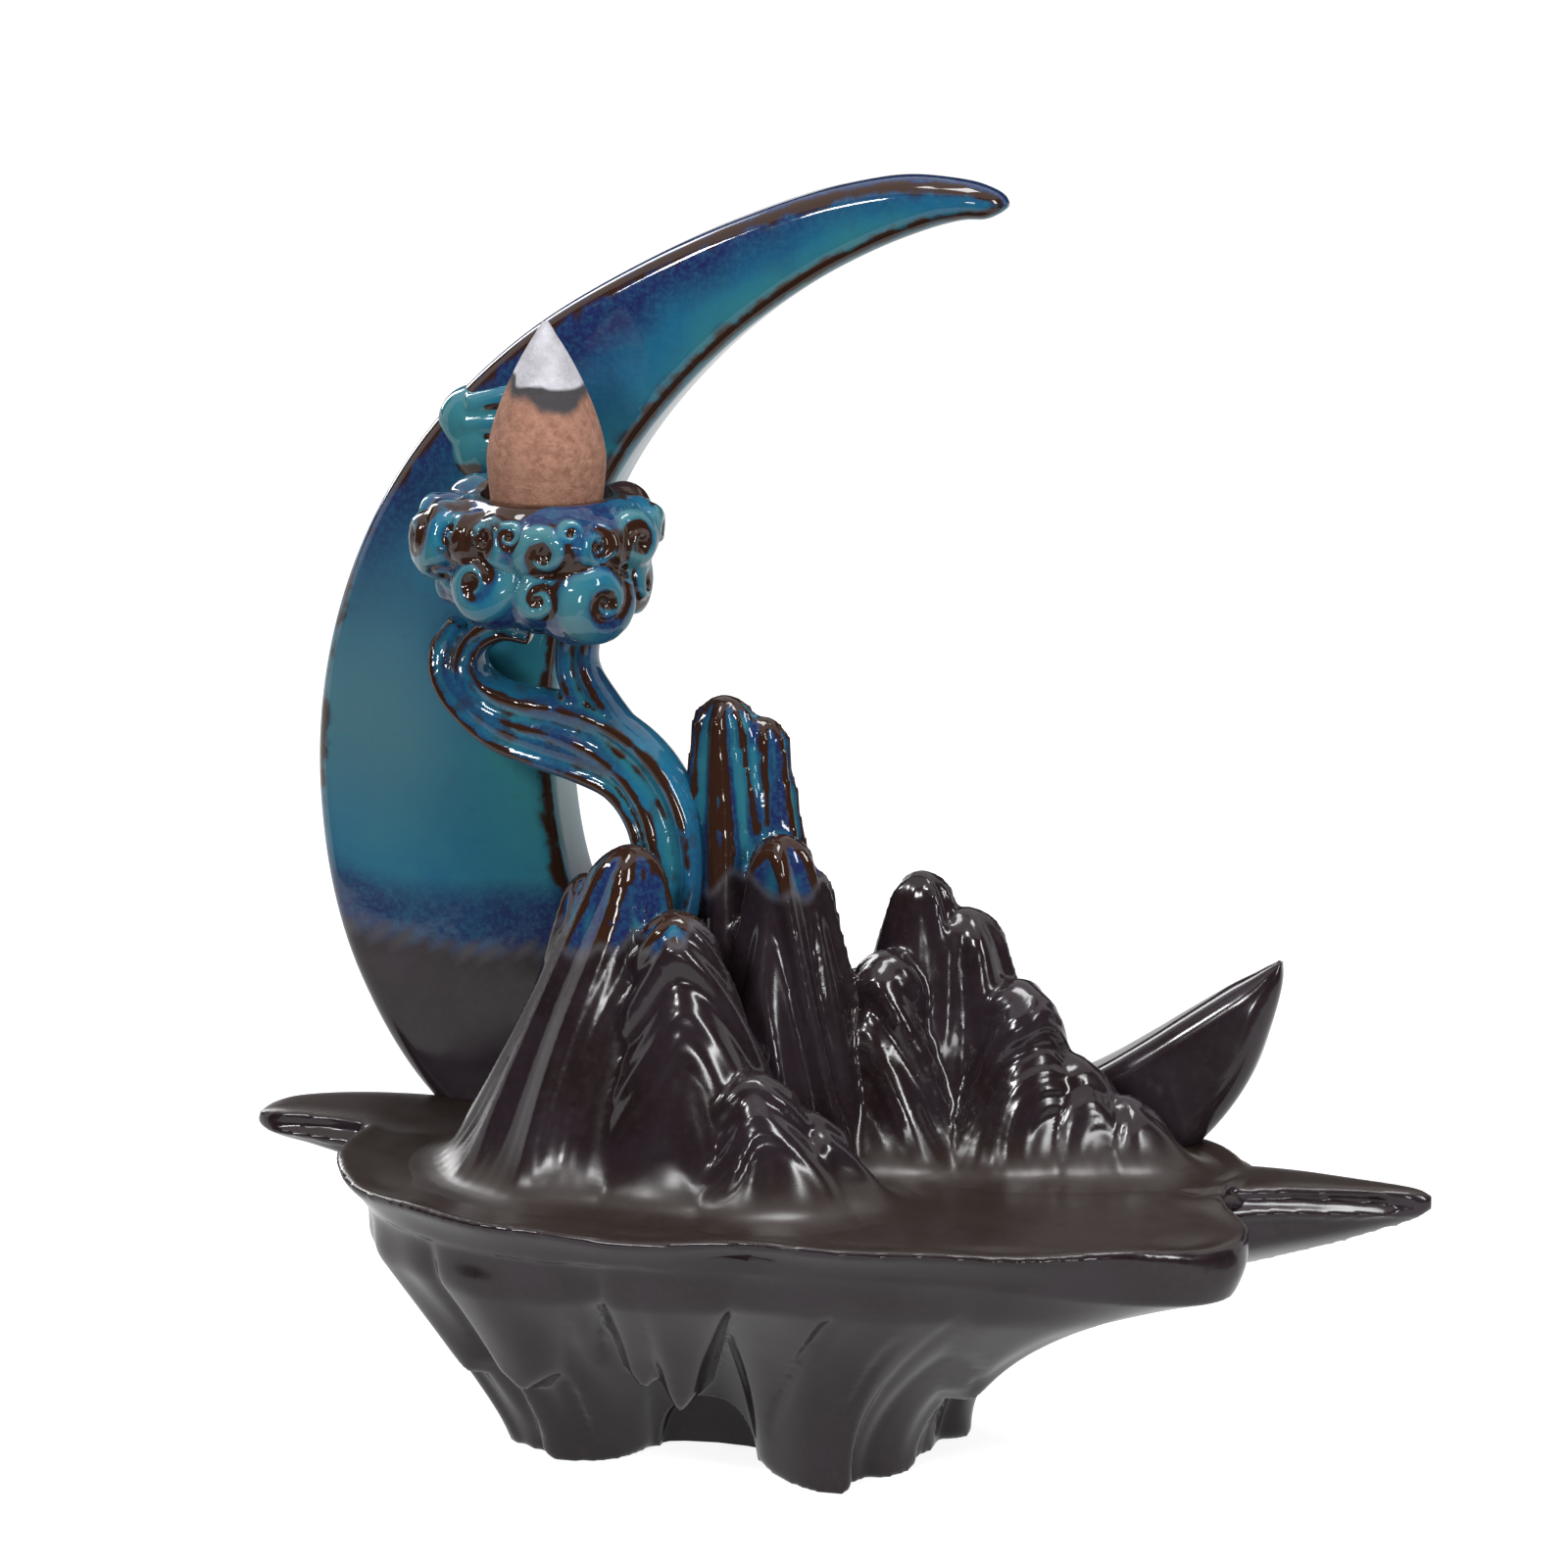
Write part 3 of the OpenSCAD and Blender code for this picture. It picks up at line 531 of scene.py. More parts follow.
def oval(centre, along, up, half_up, half_across, n, hollow=0):
    """Ring round a path, with a channel of the given depth on its upper side."""
    v = along.cross(up).normalized()
    u, w = v.cross(along), along.cross(v.cross(along))
    ring = []
    for a in round_angles(n):
        near = min(a, 2 * math.pi - a)
        high = half_up * math.cos(a) - hollow * math.exp(-(near / GROOVE_SPREAD) ** 2)
        ring.append(centre + u * high + w * half_across * math.sin(a))
    return ring


def strand(bm, stations):
    """One strand of the stream, with a channel along its front."""
    curve = open_curve(stations, 9)
    path = [Vector((CUP_X + q[0], MOON_FRONT - q[1], RIM_Z + q[2])) for q in curve]
    out = Vector((0, -1, 0))
    skin(bm, [oval(path[i], way(path, i), out, q[4], q[3] * STRAND_SWELL, 40, q[3] * GROOVE_DEPTH)
              for i, q in enumerate(curve)])


def tube(bm, start, end, r0, r1):
    """Straight round bar between two points, its ends buried in other forms."""
    start, end = Vector(start), Vector(end)
    along, up = (end - start).normalized(), Vector((0, 0.1, 1))
    rings = []
    for k in range(13):
        r = lerp(r0, r1, k / 12)
        rings.append(oval(start.lerp(end, k / 12), along, up, r, r, 28))
    skin(bm, rings)


def cloud_body(bm):
    rings = []
    for drop, wide in open_curve(CLOUD, 6):
        ring = []
        for a in round_angles(72):
            reach = (WELL_RADIUS + wide) * (1 + 0.05 * math.cos(7 * a))
            ring.append((CUP_X + reach * math.cos(a), CUP_Y + reach * math.sin(a), RIM_Z - drop))
        rings.append(ring)
    skin(bm, rings)


def cloud_lobes(bm):
    for bearing, far, drop, size in LOBES:
        b = math.radians(bearing)
        c, s = math.cos(b), math.sin(b)
        out = Vector((c, s, -0.15 if drop > 8 else 0.3)).normalized()
        centre = Vector((CUP_X + (WELL_RADIUS + far) * c, CUP_Y + (WELL_RADIUS + far) * s, RIM_Z - drop))
        radius = LOBE * size
        ball(bm, centre, radius)
        ball(bm, centre - out * radius * 0.6, radius * 1.05)


def neck_and_wisps(bm):
    """The neck that carries the cloud, and wisps that fan out over the moon's face and round its edge."""
    tube(bm, (CUP_X - 4, CUP_Y + WELL_RADIUS - 1, RIM_Z - NECK_DROP), (CUP_X - 8, MOON_Y, RIM_Z - NECK_DROP),
         NECK, NECK)
    for x0, y0, z0, r0, x1, y1, z1, r1 in WISPS:
        tube(bm, (CUP_X + x0, MOON_FRONT - y0 + 1, RIM_Z + z0),
             (CUP_X + x1, MOON_FRONT - y1 + 1.4, RIM_Z + z1), r0, r1)
    for x, behind, z, radius, squash in WISP_ENDS:
        ball(bm, (CUP_X + x, MOON_FRONT + behind, RIM_Z + z), radius, squash, 32)


def carve_well(cloud):
    cutter = bmesh.new()
    bmesh.ops.create_cone(cutter, cap_ends=True, segments=96, radius1=WELL_RADIUS * MM,
                          radius2=WELL_RADIUS * MM, depth=12 * MM)
    bmesh.ops.translate(cutter, vec=Vector((CUP_X, CUP_Y, WELL_Z + 6)) * MM, verts=cutter.verts)
    carve(cloud, finished(cutter, "well"))


def carve_channel(cloud):
    """The smoke channel from the well's floor down to the outlet."""
    dx, dy, dz = OUTLET
    path = [Vector(p) for p in open_curve([
        (CUP_X, CUP_Y, WELL_Z + 1), (CUP_X, CUP_Y, WELL_Z - 8), (CUP_X + dx, CUP_Y + dy, RIM_Z + dz),
        (CUP_X + dx * 1.7, CUP_Y + dy * 1.8, RIM_Z + dz - 5)], 8)]
    rings = []
    for i in range(len(path)):
        r = CHANNEL * lerp(0.5, 0.62, i / 24)
        rings.append(oval(path[i], way(path, i), Vector((1, 0, 0.01)), r, r, 24))
    cutter = bmesh.new()
    skin(cutter, rings)
    carve(cloud, finished(cutter, "smoke_channel"))


def wind_scrolls(mesh):
    """Raises ribbons that wind in to an eye; returns where the ribbons and the hollows between are."""
    co, normal = places(mesh), facings(mesh)
    best = np.full(len(co), 1.0)
    lift, raised, hollow = np.zeros(len(co)), np.zeros(len(co)), np.zeros(len(co))
    for bearing, drop, radius, hand, start in SCROLLS:
        b = math.radians(bearing)
        round_cup = np.array([math.cos(b), math.sin(b), 0])
        out = round_cup + [0, 0, -0.2 if drop > 8 else 0.15]
        out /= np.linalg.norm(out)
        side = np.cross([0, 0, 1], out)
        side /= np.linalg.norm(side)
        rise = np.cross(out, side)
        way_out = co - (np.array([CUP_X, CUP_Y, RIM_Z - drop]) + round_cup * (WELL_RADIUS + SCROLL_REACH))
        x, y, deep = way_out @ side, way_out @ rise, way_out @ out
        far = np.hypot(x, y) / radius
        mine = (far < best) & (deep > -9) & (normal @ out > 0.05)
        turn = (np.arctan2(y, x) * hand + math.radians(start)) / (2 * math.pi)
        ribbon = np.abs(np.sin(math.pi * (turn + np.log(np.maximum(far, 0.05)) / 1.5))) ** 0.7
        edge, size = step(1.0, 0.75, far), 0.45 + 0.14 * radius
        height = size * (ribbon * (0.5 + 0.5 * far) - 0.3) - 0.8 * step(0.26, 0.14, far)
        lift = np.where(mine, height * edge, lift)
        raised = np.where(mine, step(0.6, 0.9, ribbon) * edge, raised)
        hollow = np.where(mine, np.maximum(step(0.75, 0.45, ribbon), step(0.3, 0.2, far)) * edge, hollow)
        best = np.where(mine, far, best)
    lift = spread(mesh, lift, 2)
    mesh.vertices.foreach_set("co", ((co + normal * lift[:, None]) * MM).astype(np.float32).ravel())
    mesh.update()
    return spread(mesh, raised, 1), spread(mesh, hollow, 1)


def paint_cloud(mesh, raised, hollow):
    """Notes where the glaze breaks to brown, pools dark or runs pale and green on the cloud and stream."""
    co = places(mesh)
    relief = ridges(mesh, 10)
    patch = wave(co, (3.1, 1.6))
    x, y = co[:, 0] - CUP_X, co[:, 1] - CUP_Y
    below = RIM_Z - co[:, 2]
    in_cloud = step(19, 16, below) * step(15, 17, MOON_Y - co[:, 1] + 6)
    well = step(WELL_RADIUS + 1.6, WELL_RADIUS + 0.4, np.hypot(x, y)) * step(5, 4, below)
    back = step(70, 90, np.degrees(np.arctan2(y, x))) * step(-2, 0, below) * step(6, 3, below)
    wisp = step(1, -1, below) * step(-6, -8, x)
    strokes = sum(hump(below + 0.12 * (x + 9), middle, 0.5, 4) for middle in (-8.3, -4.6))
    brown = 0.36 * step(16, 20, below) + 0.9 * back * step(-0.9, 0.1, patch)
    brown += wisp * (2.2 * strokes * step(-13.6, -12.4, x) - 0.8)
    brown += 1.5 * hollow * step(-0.9, -0.3, patch) + 1.3 * well + 1.1 * step(-0.05, -0.2, relief)
    brown += step(-0.2, 0.4, wave(co + 9, (4.4, 2.1))) * in_cloud * step(11, 4, below)
    brown += (1.1 - 0.8 * in_cloud) * step(0.04, 0.14, relief + 0.04 * patch) - 0.7 * raised
    note(mesh, "teal", np.ones(len(co)))
    note(mesh, "shore", np.zeros(len(co)))
    note(mesh, "broken", brown)
    note(mesh, "pale_and_sheen", (0.6 * raised * in_cloud * (1 - back) + 0.2 * wisp) * step(-0.9, 0.5, patch))
    note(mesh, "green", 0.8 * raised * in_cloud + 0.5 * step(0.03, -0.05, relief) * (1 - in_cloud)
         + 0.35 * patch + 0.8 * step(-8, -10, x) * step(1, -1, below))
    note(mesh, "navy", 0.85 * in_cloud - 1.0 * raised + 0.45 * wave(co + 40, (6, 3))
         + 0.45 * step(10, 16, below) - 0.1 * wisp - 0.5 * (1 - in_cloud) * step(0.05, -0.1, relief))


def make_cloud():
    bm = bmesh.new()
    cloud_body(bm)
    cloud_lobes(bm)
    neck_and_wisps(bm)
    for stations in (STREAM_OUTER, STREAM_INNER, STREAM_FALL):
        strand(bm, stations)
    cloud = finished(bm, "cloud_and_stream")
    fuse(cloud, CLOUD_GRAIN, 4)
    carve_well(cloud)
    carve_channel(cloud)
    raised, hollow = wind_scrolls(cloud.data)
    paint_cloud(cloud.data, raised, hollow)
    return cloud


# The rock island with its peaks

def rim_point(u):
    p = loop_point(ROCK_RIBS, u)
    return PLATE_MIDDLE[0] + PLATE_LENGTH / 2 * p[0], PLATE_MIDDLE[1] + PLATE_DEPTH / 2 * p[1]


def foot_point(u):
    p = loop_point(ROCK_RIBS, u)
    return FOOT_MIDDLE[0] + FOOT_LENGTH / 2 * p[2], FOOT_MIDDLE[1] + FOOT_DEPTH / 2 * p[3]


def nose(u):
    """How near a place along the ribs is to the island's nose, from 0 to 1."""
    return ease(1 - abs(u - NOSE_RIB) / NOSE_HALF)


def lip_tuck(y):
    """How much of the hollow under the lip there is: all of it in front, little at the back."""
    return 1 - 0.8 * ease((y - 6) / 14)


def drape_push(u, t):
    """How far the hanging drapes push the rock out, flat in front and stepped at their edges."""
    push = 0
    for tip_place, root_place, tip_half, root_half, out, tip in DRAPES:
        hang = (t - tip) / (1 - tip)
        if hang <= 0:
            continue
        off = abs(u - lerp(tip_place, root_place, hang))
        off = min(off, len(ROCK_RIBS) - off)
        half = lerp(tip_half, root_half, hang ** 0.7) * math.sqrt(min(1, hang / 0.12))
        if off < half:
            push = max(push, out * (1 - hang) ** 0.75 * math.sqrt(1 - (off / half) ** 3))
    for u0, t0, u1, t1 in CREASES:
        along = min(1, max(0, (t0 - t) / (t0 - t1)))
        far = math.hypot((u - lerp(u0, u1, along)) * 9, (t - lerp(t0, t1, along)) * 30)
        push -= CREASE_DEPTH * math.sin(math.pi * (0.08 + 0.84 * along)) * math.exp(-(far / 0.7) ** 2)
    return push


def rock_point(u, t):
    rim, foot = rim_point(u), foot_point(u)
    bend = 1.55 + 0.4 * math.cos(math.atan2(rim[1], rim[0]))
    out = Vector((rim[0] - foot[0], rim[1] - foot[1])).normalized()
    swell = 0.3 * math.sin(u * 7.3 + 3 * t) * math.sin(math.pi * t)
    tuck = LIP_TUCK * ease((t - 0.8) / 0.2) * (1 - 0.75 * nose(u)) * lip_tuck(rim[1])
    push = drape_push(u, t) + swell - tuck
    return lerp(foot[0], rim[0], t ** bend) + out.x * push, lerp(foot[1], rim[1], t ** bend) + out.y * push


def lip_ring(places_round, out, swell, rise):
    """One ring of the lip, rise being its share of the rim's height."""
    low = rise < 0.9
    ring = []
    for u in places_round:
        p = rim_point(u)
        tuck = out * lip_tuck(p[1]) if low else out
        d = Vector(p).normalized() * (tuck + swell * nose(u))
        wavy = (0.28 * math.sin(2.1 * u) + 0.22 * math.sin(3.7 * u + 1)) * ease(rise / 0.6) - 0.3
        level = PLATE_Z - (1 - rise) * RIM
        if low:
            level = lerp(PLATE_Z - RIM - NOSE_DROOP * nose(u), PLATE_Z, rise)
        ring.append((p[0] + d.x, p[1] + d.y, level + wavy))
    return ring


def rock_rings():
    ribs, fine = len(ROCK_RIBS), 26
    places_round = [i / fine for i in range(ribs * fine)]
    rings = []
    for t in [k / 60 for k in range(61)]:
        rings.append([(*rock_point(u, t), t * (PLATE_Z - RIM - NOSE_DROOP * nose(u) * t * t))
                      for u in places_round])
    rings += [lip_ring(places_round, *section) for section in LIP]
    for share in (0.86, 0.5, 0.1):
        rings.append([(rim_point(u)[0] * share, rim_point(u)[1] * share, PLATE_Z - POOL_DEPTH)
                      for u in places_round])
    return rings


def spike_rings(stations, side):
    rings = []
    for share, front, back, drop, thick in open_curve(stations, 12):
        middle, half_w, half_t = (front + back) / 2, (back - front) / 2, thick / 2
        reach = side * lerp(SPIKE_ROOT, ISLAND_LENGTH / 2, share)
        long = ease(share * 3) * ease((1 - share) * 6)
        ring = []
        for a in round_angles(120):
            c, s = math.cos(a), math.sin(a)
            x = half_w * math.copysign(abs(c) ** 0.5, c)
            z = half_t * math.copysign(abs(s) ** 0.62, s)
            below = half_t - z
            if z < 0:
                z *= 0.45 + 0.55 * (1 - abs(x) / half_w)
            if c < 0:
                # A groove under the top edge, a second ridge, and the face set back below it
                x += long * (2.2 * math.exp(-((below - 1.8) / 0.8) ** 2) + 1.4 * ease((below - 3.4) / 0.7))
            ring.append((reach, middle + x, PLATE_Z - drop - half_t + z))
        rings.append(ring)
    return rings


def peak_levels(cap):
    """Shares of the height, close together at the foot, with the dome's radius shares above the cap."""
    levels = [((k / 64) ** 1.5 * cap, 1) for k in range(65)]
    for a in [math.radians(k) for k in range(6, 90, 6)]:
        levels.append((cap + (1 - cap) * math.sin(a), math.cos(a)))
    return levels


def skirt(above):
    """How far a peak's foot runs out into the plate, at a height above the plate."""
    return 3.6 * math.exp(-max(above + 1.6, 0) / 2.1) + 4.5 * math.exp(-max(above + 1.0, 0) / 0.45)


def peak_rings(peak, flow):
    """A mountain hung with folds that part over its front and sweep out into the plate."""
    top_x, top_y, base_x, base_y, tall, wide_x, wide_y, top = peak[:-1]
    facing, folds, fall, late, depth, strands, spreading, slim = flow
    top *= slim
    height = PEAK_HEIGHT * tall
    a = np.radians(np.arange(0, 360, 1.5))
    off = np.abs((a - math.radians(facing) + math.pi) % (2 * math.pi) - math.pi) / math.pi
    side = 1.25 * off ** 2 / (off + 0.25)
    rings = []
    for t, dome in peak_levels(1 - top * 1.1 / height):
        above = (height + PEAK_ROOT) * t - PEAK_ROOT
        sway = np.sin(2 * a + 4 * t + facing)
        line = folds * side + fall * t ** late + 0.2 * sway
        crest = (0.5 - 0.5 * np.cos(2 * math.pi * line)) ** 0.7 - 0.55
        fine = np.abs(np.sin(math.pi * (5 * line + 0.2))) - 0.6
        bunch = 0.3 + 0.7 * (0.5 + 0.5 * sway) ** 1.5
        lift = depth * (0.75 + 0.5 * (1 - t)) * crest + strands * bunch * fine
        lift = lift * (0.15 + 0.85 * ease((above + 1) / 8)) * dome
        flare = max(0, 1 - t) ** spreading
        foot = skirt(above)
        x = lerp(base_x, top_x, t) + np.cos(a) * (top * dome + (wide_x - top) * flare + foot + lift)
        y = lerp(base_y, top_y, t) + np.sin(a) * (top * dome + (wide_y - top) * flare + foot + lift)
        rings.append(np.stack([x, y, np.full(len(a), PLATE_Z + above)], 1).tolist())
    return rings


def paint_brown(mesh, teal_from, up_the_skirts):
    """Notes where the plate's glaze lies, where the teal starts and breaks, and its runs."""
    co = places(mesh)
    x, y, z = co.T
    relief = ridges(mesh, 12)
    shore = teal_from + 1.2 * np.sin(x / 1.9) + 0.9 * np.sin(y / 1.3 + x)
    runs = np.sin(x * 2.1 + 1.3 * np.sin(z / 5)) + np.sin(y * 1.9)
    level = step(0.6, 0.92, facings(mesh)[:, 2]) * step(43, 39, z)
    summit = step(0.35, 0.9, ridges(mesh, 90))
    note(mesh, "plate", np.maximum(level, up_the_skirts * step(45, 38.6, z)) * step(35.5, 36.5, z))
    note(mesh, "teal", step(-0.8, 0.8, z - shore))
    note(mesh, "shore", hump(z, shore, 0.6))
    note(mesh, "broken", 1.2 * step(0.0, 0.1, relief + 0.03 * wave(co, (2.5, 1.2))) + 0.9 * summit)
    note(mesh, "green", step(0.0, -0.12, relief) * 0.6 + 0.2 * runs)
    note(mesh, "navy", 0.9 + 0.25 * wave(co + 17, (4, 2)) - 0.25 * runs - 0.8 * step(-0.04, -0.16, relief))


def carve_underside(rock):
    """The open hollow that slip casting leaves under the island."""
    x0, y0 = FOOT_MIDDLE[0], FOOT_MIDDLE[1] + 5
    half_x, half_y = FOOT_LENGTH / 2 - FOOT_WALL - 2, FOOT_DEPTH / 2 - FOOT_WALL - 4.5
    rings = []
    for h, s in open_curve([(-1, 1), (0, 1), (0.45, 0.9), (0.8, 0.68), (1, 0.4)], 5):
        level = h if h < 0 else h * HOLLOW_HEIGHT
        rings.append([(x0 + half_x * s * math.cos(a), y0 + half_y * s * math.sin(a), level)
                      for a in round_angles(60)])
    cutter = bmesh.new()
    skin(cutter, rings)
    carve(rock, finished(cutter, "hollow"))


def carve_niche(rock):
    """The arched niche between the front feet."""
    back = foot_point(NICHE_RIB)[1]
    r = NICHE_HEIGHT * 0.8
    stations = ((back + r * 0.25, 0.05), (back + r * 0.2, 0.6), (back + r * 0.11, 0.9), (back, 1),
                (-PLATE_DEPTH / 2, 1.1))
    cutter = bmesh.new()
    skin(cutter, [[(FOOT_MIDDLE[0] - 1 + r * k * math.cos(a), y, r * 1.22 * k * math.sin(a))
                   for a in round_angles(48)] for y, k in stations])
    carve(rock, finished(cutter, "niche"))


def make_rock():
    bm = bmesh.new()
    skin(bm, rock_rings())
    skin(bm, spike_rings(RIGHT_SPIKE, 1))
    skin(bm, spike_rings(LEFT_SPIKE, -1))
    rock = finished(bm, "rock_island")
    fuse(rock, ROCK_GRAIN, 2)
    carve_underside(rock)
    carve_niche(rock)
    paint_brown(rock.data, NO_TEAL, 0)
    return rock


def make_peaks():
    bm = bmesh.new()
    for peak, flow in zip(PEAKS, FLOW):
        skin(bm, peak_rings(peak, flow))
    peaks = finished(bm, "peaks")
    fuse(peaks, PEAK_GRAIN, 2)
    x, y = places(peaks.data)[:, :2].T
    start = np.full(len(x), float(NO_TEAL))
    for peak in PEAKS:
        near = np.hypot(x - peak[0], y - peak[1]) < TEAL_REACH
        start = np.where(near, np.minimum(start, peak[-1]), start)
    paint_brown(peaks.data, start, 0.9)
    return peaks


# The incense cone

def cone_profile():
    """Radius and height, from the top of the bore out over the belly to the tip."""
    r, belly = CONE_WIDTH / 2, 0.3
    profile = [(CONE_BORE / 2 * share, CONE_HEIGHT * high)
               for share, high in ((0.6, 0.4), (1.0, 0.39), (1.0, 0.2), (1.0, 0.0))]
    for t in [0.0, 0.02] + [0.03 * k for k in range(2, 33)]:
        w = lerp(0.93, 1, ease(t / belly))
        if t >= belly:
            w = (1 - ((t - belly) / (1 - belly)) ** 1.5) ** 0.9
        w = max(w, 0.16 - 0.6 * max(0, t - 0.9))
        profile.append((r * w * (0.985 if t == 0 else 1), CONE_HEIGHT * t))
    return profile + [(r * 0.05, CONE_HEIGHT * 0.995)]


def make_incense():
    bm = bmesh.new()
    skin(bm, [[(CUP_X + r * math.cos(a), CUP_Y + r * math.sin(a), WELL_Z + z * CONE_LEFT)
               for a in round_angles(96)] for r, z in cone_profile()])
    cone = finished(bm, "incense")
    x, y = places(cone.data)[:, :2].T
    bearing = np.degrees(np.arctan2(y - CUP_Y, x - CUP_X))
    note(cone.data, "scorch", hump(bearing, -60, 32, 4))
    return cone


# Finishes

TEAL_BLUE, TEAL_GREEN = (0.010, 0.090, 0.172, 1), (0.022, 0.136, 0.158, 1)
# The pale teal is the paler glaze of the cloud's ribbons and wisps, and on the moon a painted reflection
NAVY, PALE_TEAL_AND_SHEEN, TEAL_SPECKS = (0.011, 0.016, 0.074, 1), (0.068, 0.150, 0.172, 1), (0.022, 0.130, 0.185, 1)
RIDGE_BROWN, SHORE_GREY = (0.026, 0.0105, 0.006, 1), (0.060, 0.055, 0.062, 1)
SATIN_DARK, SATIN_LIGHT = (0.0124, 0.0070, 0.0078, 1), (0.0182, 0.0120, 0.0162, 1)
PLATE_BROWN, SATIN_SPECKS = (0.0165, 0.0090, 0.0064, 1), (0.027, 0.019, 0.022, 1)
INCENSE_DARK, INCENSE_LIGHT = (0.190, 0.084, 0.053, 1), (0.325, 0.166, 0.115, 1)
INCENSE_CLOTS, CHAR = (0.290, 0.150, 0.100, 1), (0.035, 0.032, 0.036, 1)
ASH_DARK, ASH_LIGHT = (0.34, 0.335, 0.36, 1), (0.49, 0.485, 0.53, 1)
FLOOR_DARK, FLOOR_LIGHT = (0.37, 0.37, 0.375, 1), (0.39, 0.39, 0.39, 1)
CARD_BLACK, PAPER_WHITE = (0.02, 0.02, 0.02, 1), (1, 1, 1, 1)

# How bright the floor glows for the camera, the share of it for mirrored rays, and the world's soft fill
FLOOR_GLOW = 0.84
MIRRORED_SHARE = 0.55
SOFT_FILL = 0.30


class Finish:
    """A material whose nodes are laid out by short calls."""

    def __init__(self, name):
        self.material = bpy.data.materials.new(name)
        self.material.use_nodes = True
        self.tree = self.material.node_tree
        self.surface = self.tree.nodes["Principled BSDF"]
        self.place = self.tree.nodes.new("ShaderNodeTexCoord").outputs["Object"]

    def link(self, value, socket):
        if hasattr(value, "is_output"):
            self.tree.links.new(value, socket)
        else:
            socket.default_value = value

    def noise(self, scale, detail=3, roughness=0.5):
        node = self.tree.nodes.new("ShaderNodeTexNoise")
        node.inputs["Scale"].default_value = scale
        node.inputs["Detail"].default_value = detail
        node.inputs["Roughness"].default_value = roughness
        self.tree.links.new(self.place, node.inputs["Vector"])
        return node.outputs["Fac"]

    def painted(self, name):
        node = self.tree.nodes.new("ShaderNodeAttribute")
        node.attribute_name = name
        return node.outputs["Fac"]

    def combine(self, kind, a, b, clamp=False):
        node = self.tree.nodes.new("ShaderNodeMath")
        node.operation = kind
        node.use_clamp = clamp
        self.link(a, node.inputs[0])
        self.link(b, node.inputs[1])
        return node.outputs[0]

    def add(self, a, b, clamp=False):
        return self.combine('ADD', a, b, clamp)

    def times(self, a, b):
        return self.combine('MULTIPLY', a, b)

    def most(self, a, b):
        return self.combine('MAXIMUM', a, b)

    def span(self, value, low, high, to_low=0.0, to_high=1.0):
        node = self.tree.nodes.new("ShaderNodeMapRange")
        node.interpolation_type = 'SMOOTHSTEP'
        self.link(value, node.inputs["Value"])
        for name, v in (("From Min", low), ("From Max", high), ("To Min", to_low), ("To Max", to_high)):
            node.inputs[name].default_value = v
        return node.outputs["Result"]

    def mix(self, share, a, b):
        node = self.tree.nodes.new("ShaderNodeMix")
        node.data_type = 'RGBA'
        self.link(share, node.inputs[0])
        self.link(a, node.inputs[6])
        self.link(b, node.inputs[7])
        return node.outputs[2]

    def blend(self, share, a, b):
        node = self.tree.nodes.new("ShaderNodeMix")
        self.link(share, node.inputs[0])
        self.link(a, node.inputs[2])
        self.link(b, node.inputs[3])
        return node.outputs[0]

    def bump(self, height, depth):
        node = self.tree.nodes.new("ShaderNodeBump")
        node.inputs["Strength"].default_value = 1.0
        node.inputs["Distance"].default_value = depth * MM
        self.link(height, node.inputs["Height"])
        self.tree.links.new(node.outputs["Normal"], self.surface.inputs["Normal"])


def teal_glaze(f, speckle):
    """Colour of the reaction glaze: teal to green, navy runs, pale runs (on the moon a painted reflection),
    specks, brown where it breaks.
    """
    cloudy = f.noise(70, 4, 0.6)
    green = f.add(f.painted("green"), f.span(cloudy, 0.35, 0.7, -0.25, 0.25), True)
    navy = f.add(f.painted("navy"), f.span(f.noise(45, 3), 0.35, 0.7, -0.3, 0.3), True)
    teal = f.mix(green, TEAL_BLUE, TEAL_GREEN)
    teal = f.mix(navy, teal, NAVY)
    # Pale teal: paler glaze on the cloud's ribbons and wisps, and a painted reflection near the moon's outer
    # edge
    teal = f.mix(f.painted("pale_and_sheen"), teal, PALE_TEAL_AND_SHEEN)
    teal = f.mix(f.span(speckle, 0.35, 0.75, 0, 0.3), teal, TEAL_SPECKS)
    broken = f.add(f.painted("broken"), f.span(f.noise(420, 3), 0.3, 0.7, -0.22, 0.22))
    return f.mix(f.span(broken, 0.35, 0.85), teal, RIDGE_BROWN)


def satin_glaze(f, plate):
    """Colour of the brown-black glaze, warmer on the plate."""
    brown = f.mix(f.span(f.noise(90, 4), 0.35, 0.65), SATIN_DARK, SATIN_LIGHT)
    brown = f.mix(f.times(plate, 0.95), brown, PLATE_BROWN)
    return f.mix(f.span(f.noise(900, 2), 0.45, 0.75, 0, 0.3), brown, SATIN_SPECKS)


def kiln_glaze():
    """Teal reaction glaze over a satin brown-black glaze, with a grey line where it ends."""
    f = Finish("kiln_glaze")
    speckle, plate, covered = f.noise(1400, 2, 0.7), f.painted("plate"), f.painted("teal")
    colour = f.mix(covered, satin_glaze(f, plate), teal_glaze(f, speckle))
    colour = f.mix(f.times(f.painted("shore"), 0.75), colour, SHORE_GREY)
    f.link(colour, f.surface.inputs["Base Color"])
    satin = f.add(f.span(f.noise(160, 3), 0.3, 0.7, 0.13, 0.20), f.times(plate, 0.19))
    f.link(f.blend(covered, satin, f.span(speckle, 0.3, 0.8, 0.05, 0.10)), f.surface.inputs["Roughness"])
    f.surface.inputs["IOR"].default_value = 1.44
    f.bump(f.add(f.noise(60, 2), f.times(f.noise(500, 2), 0.03)), 0.25)
    return f.material


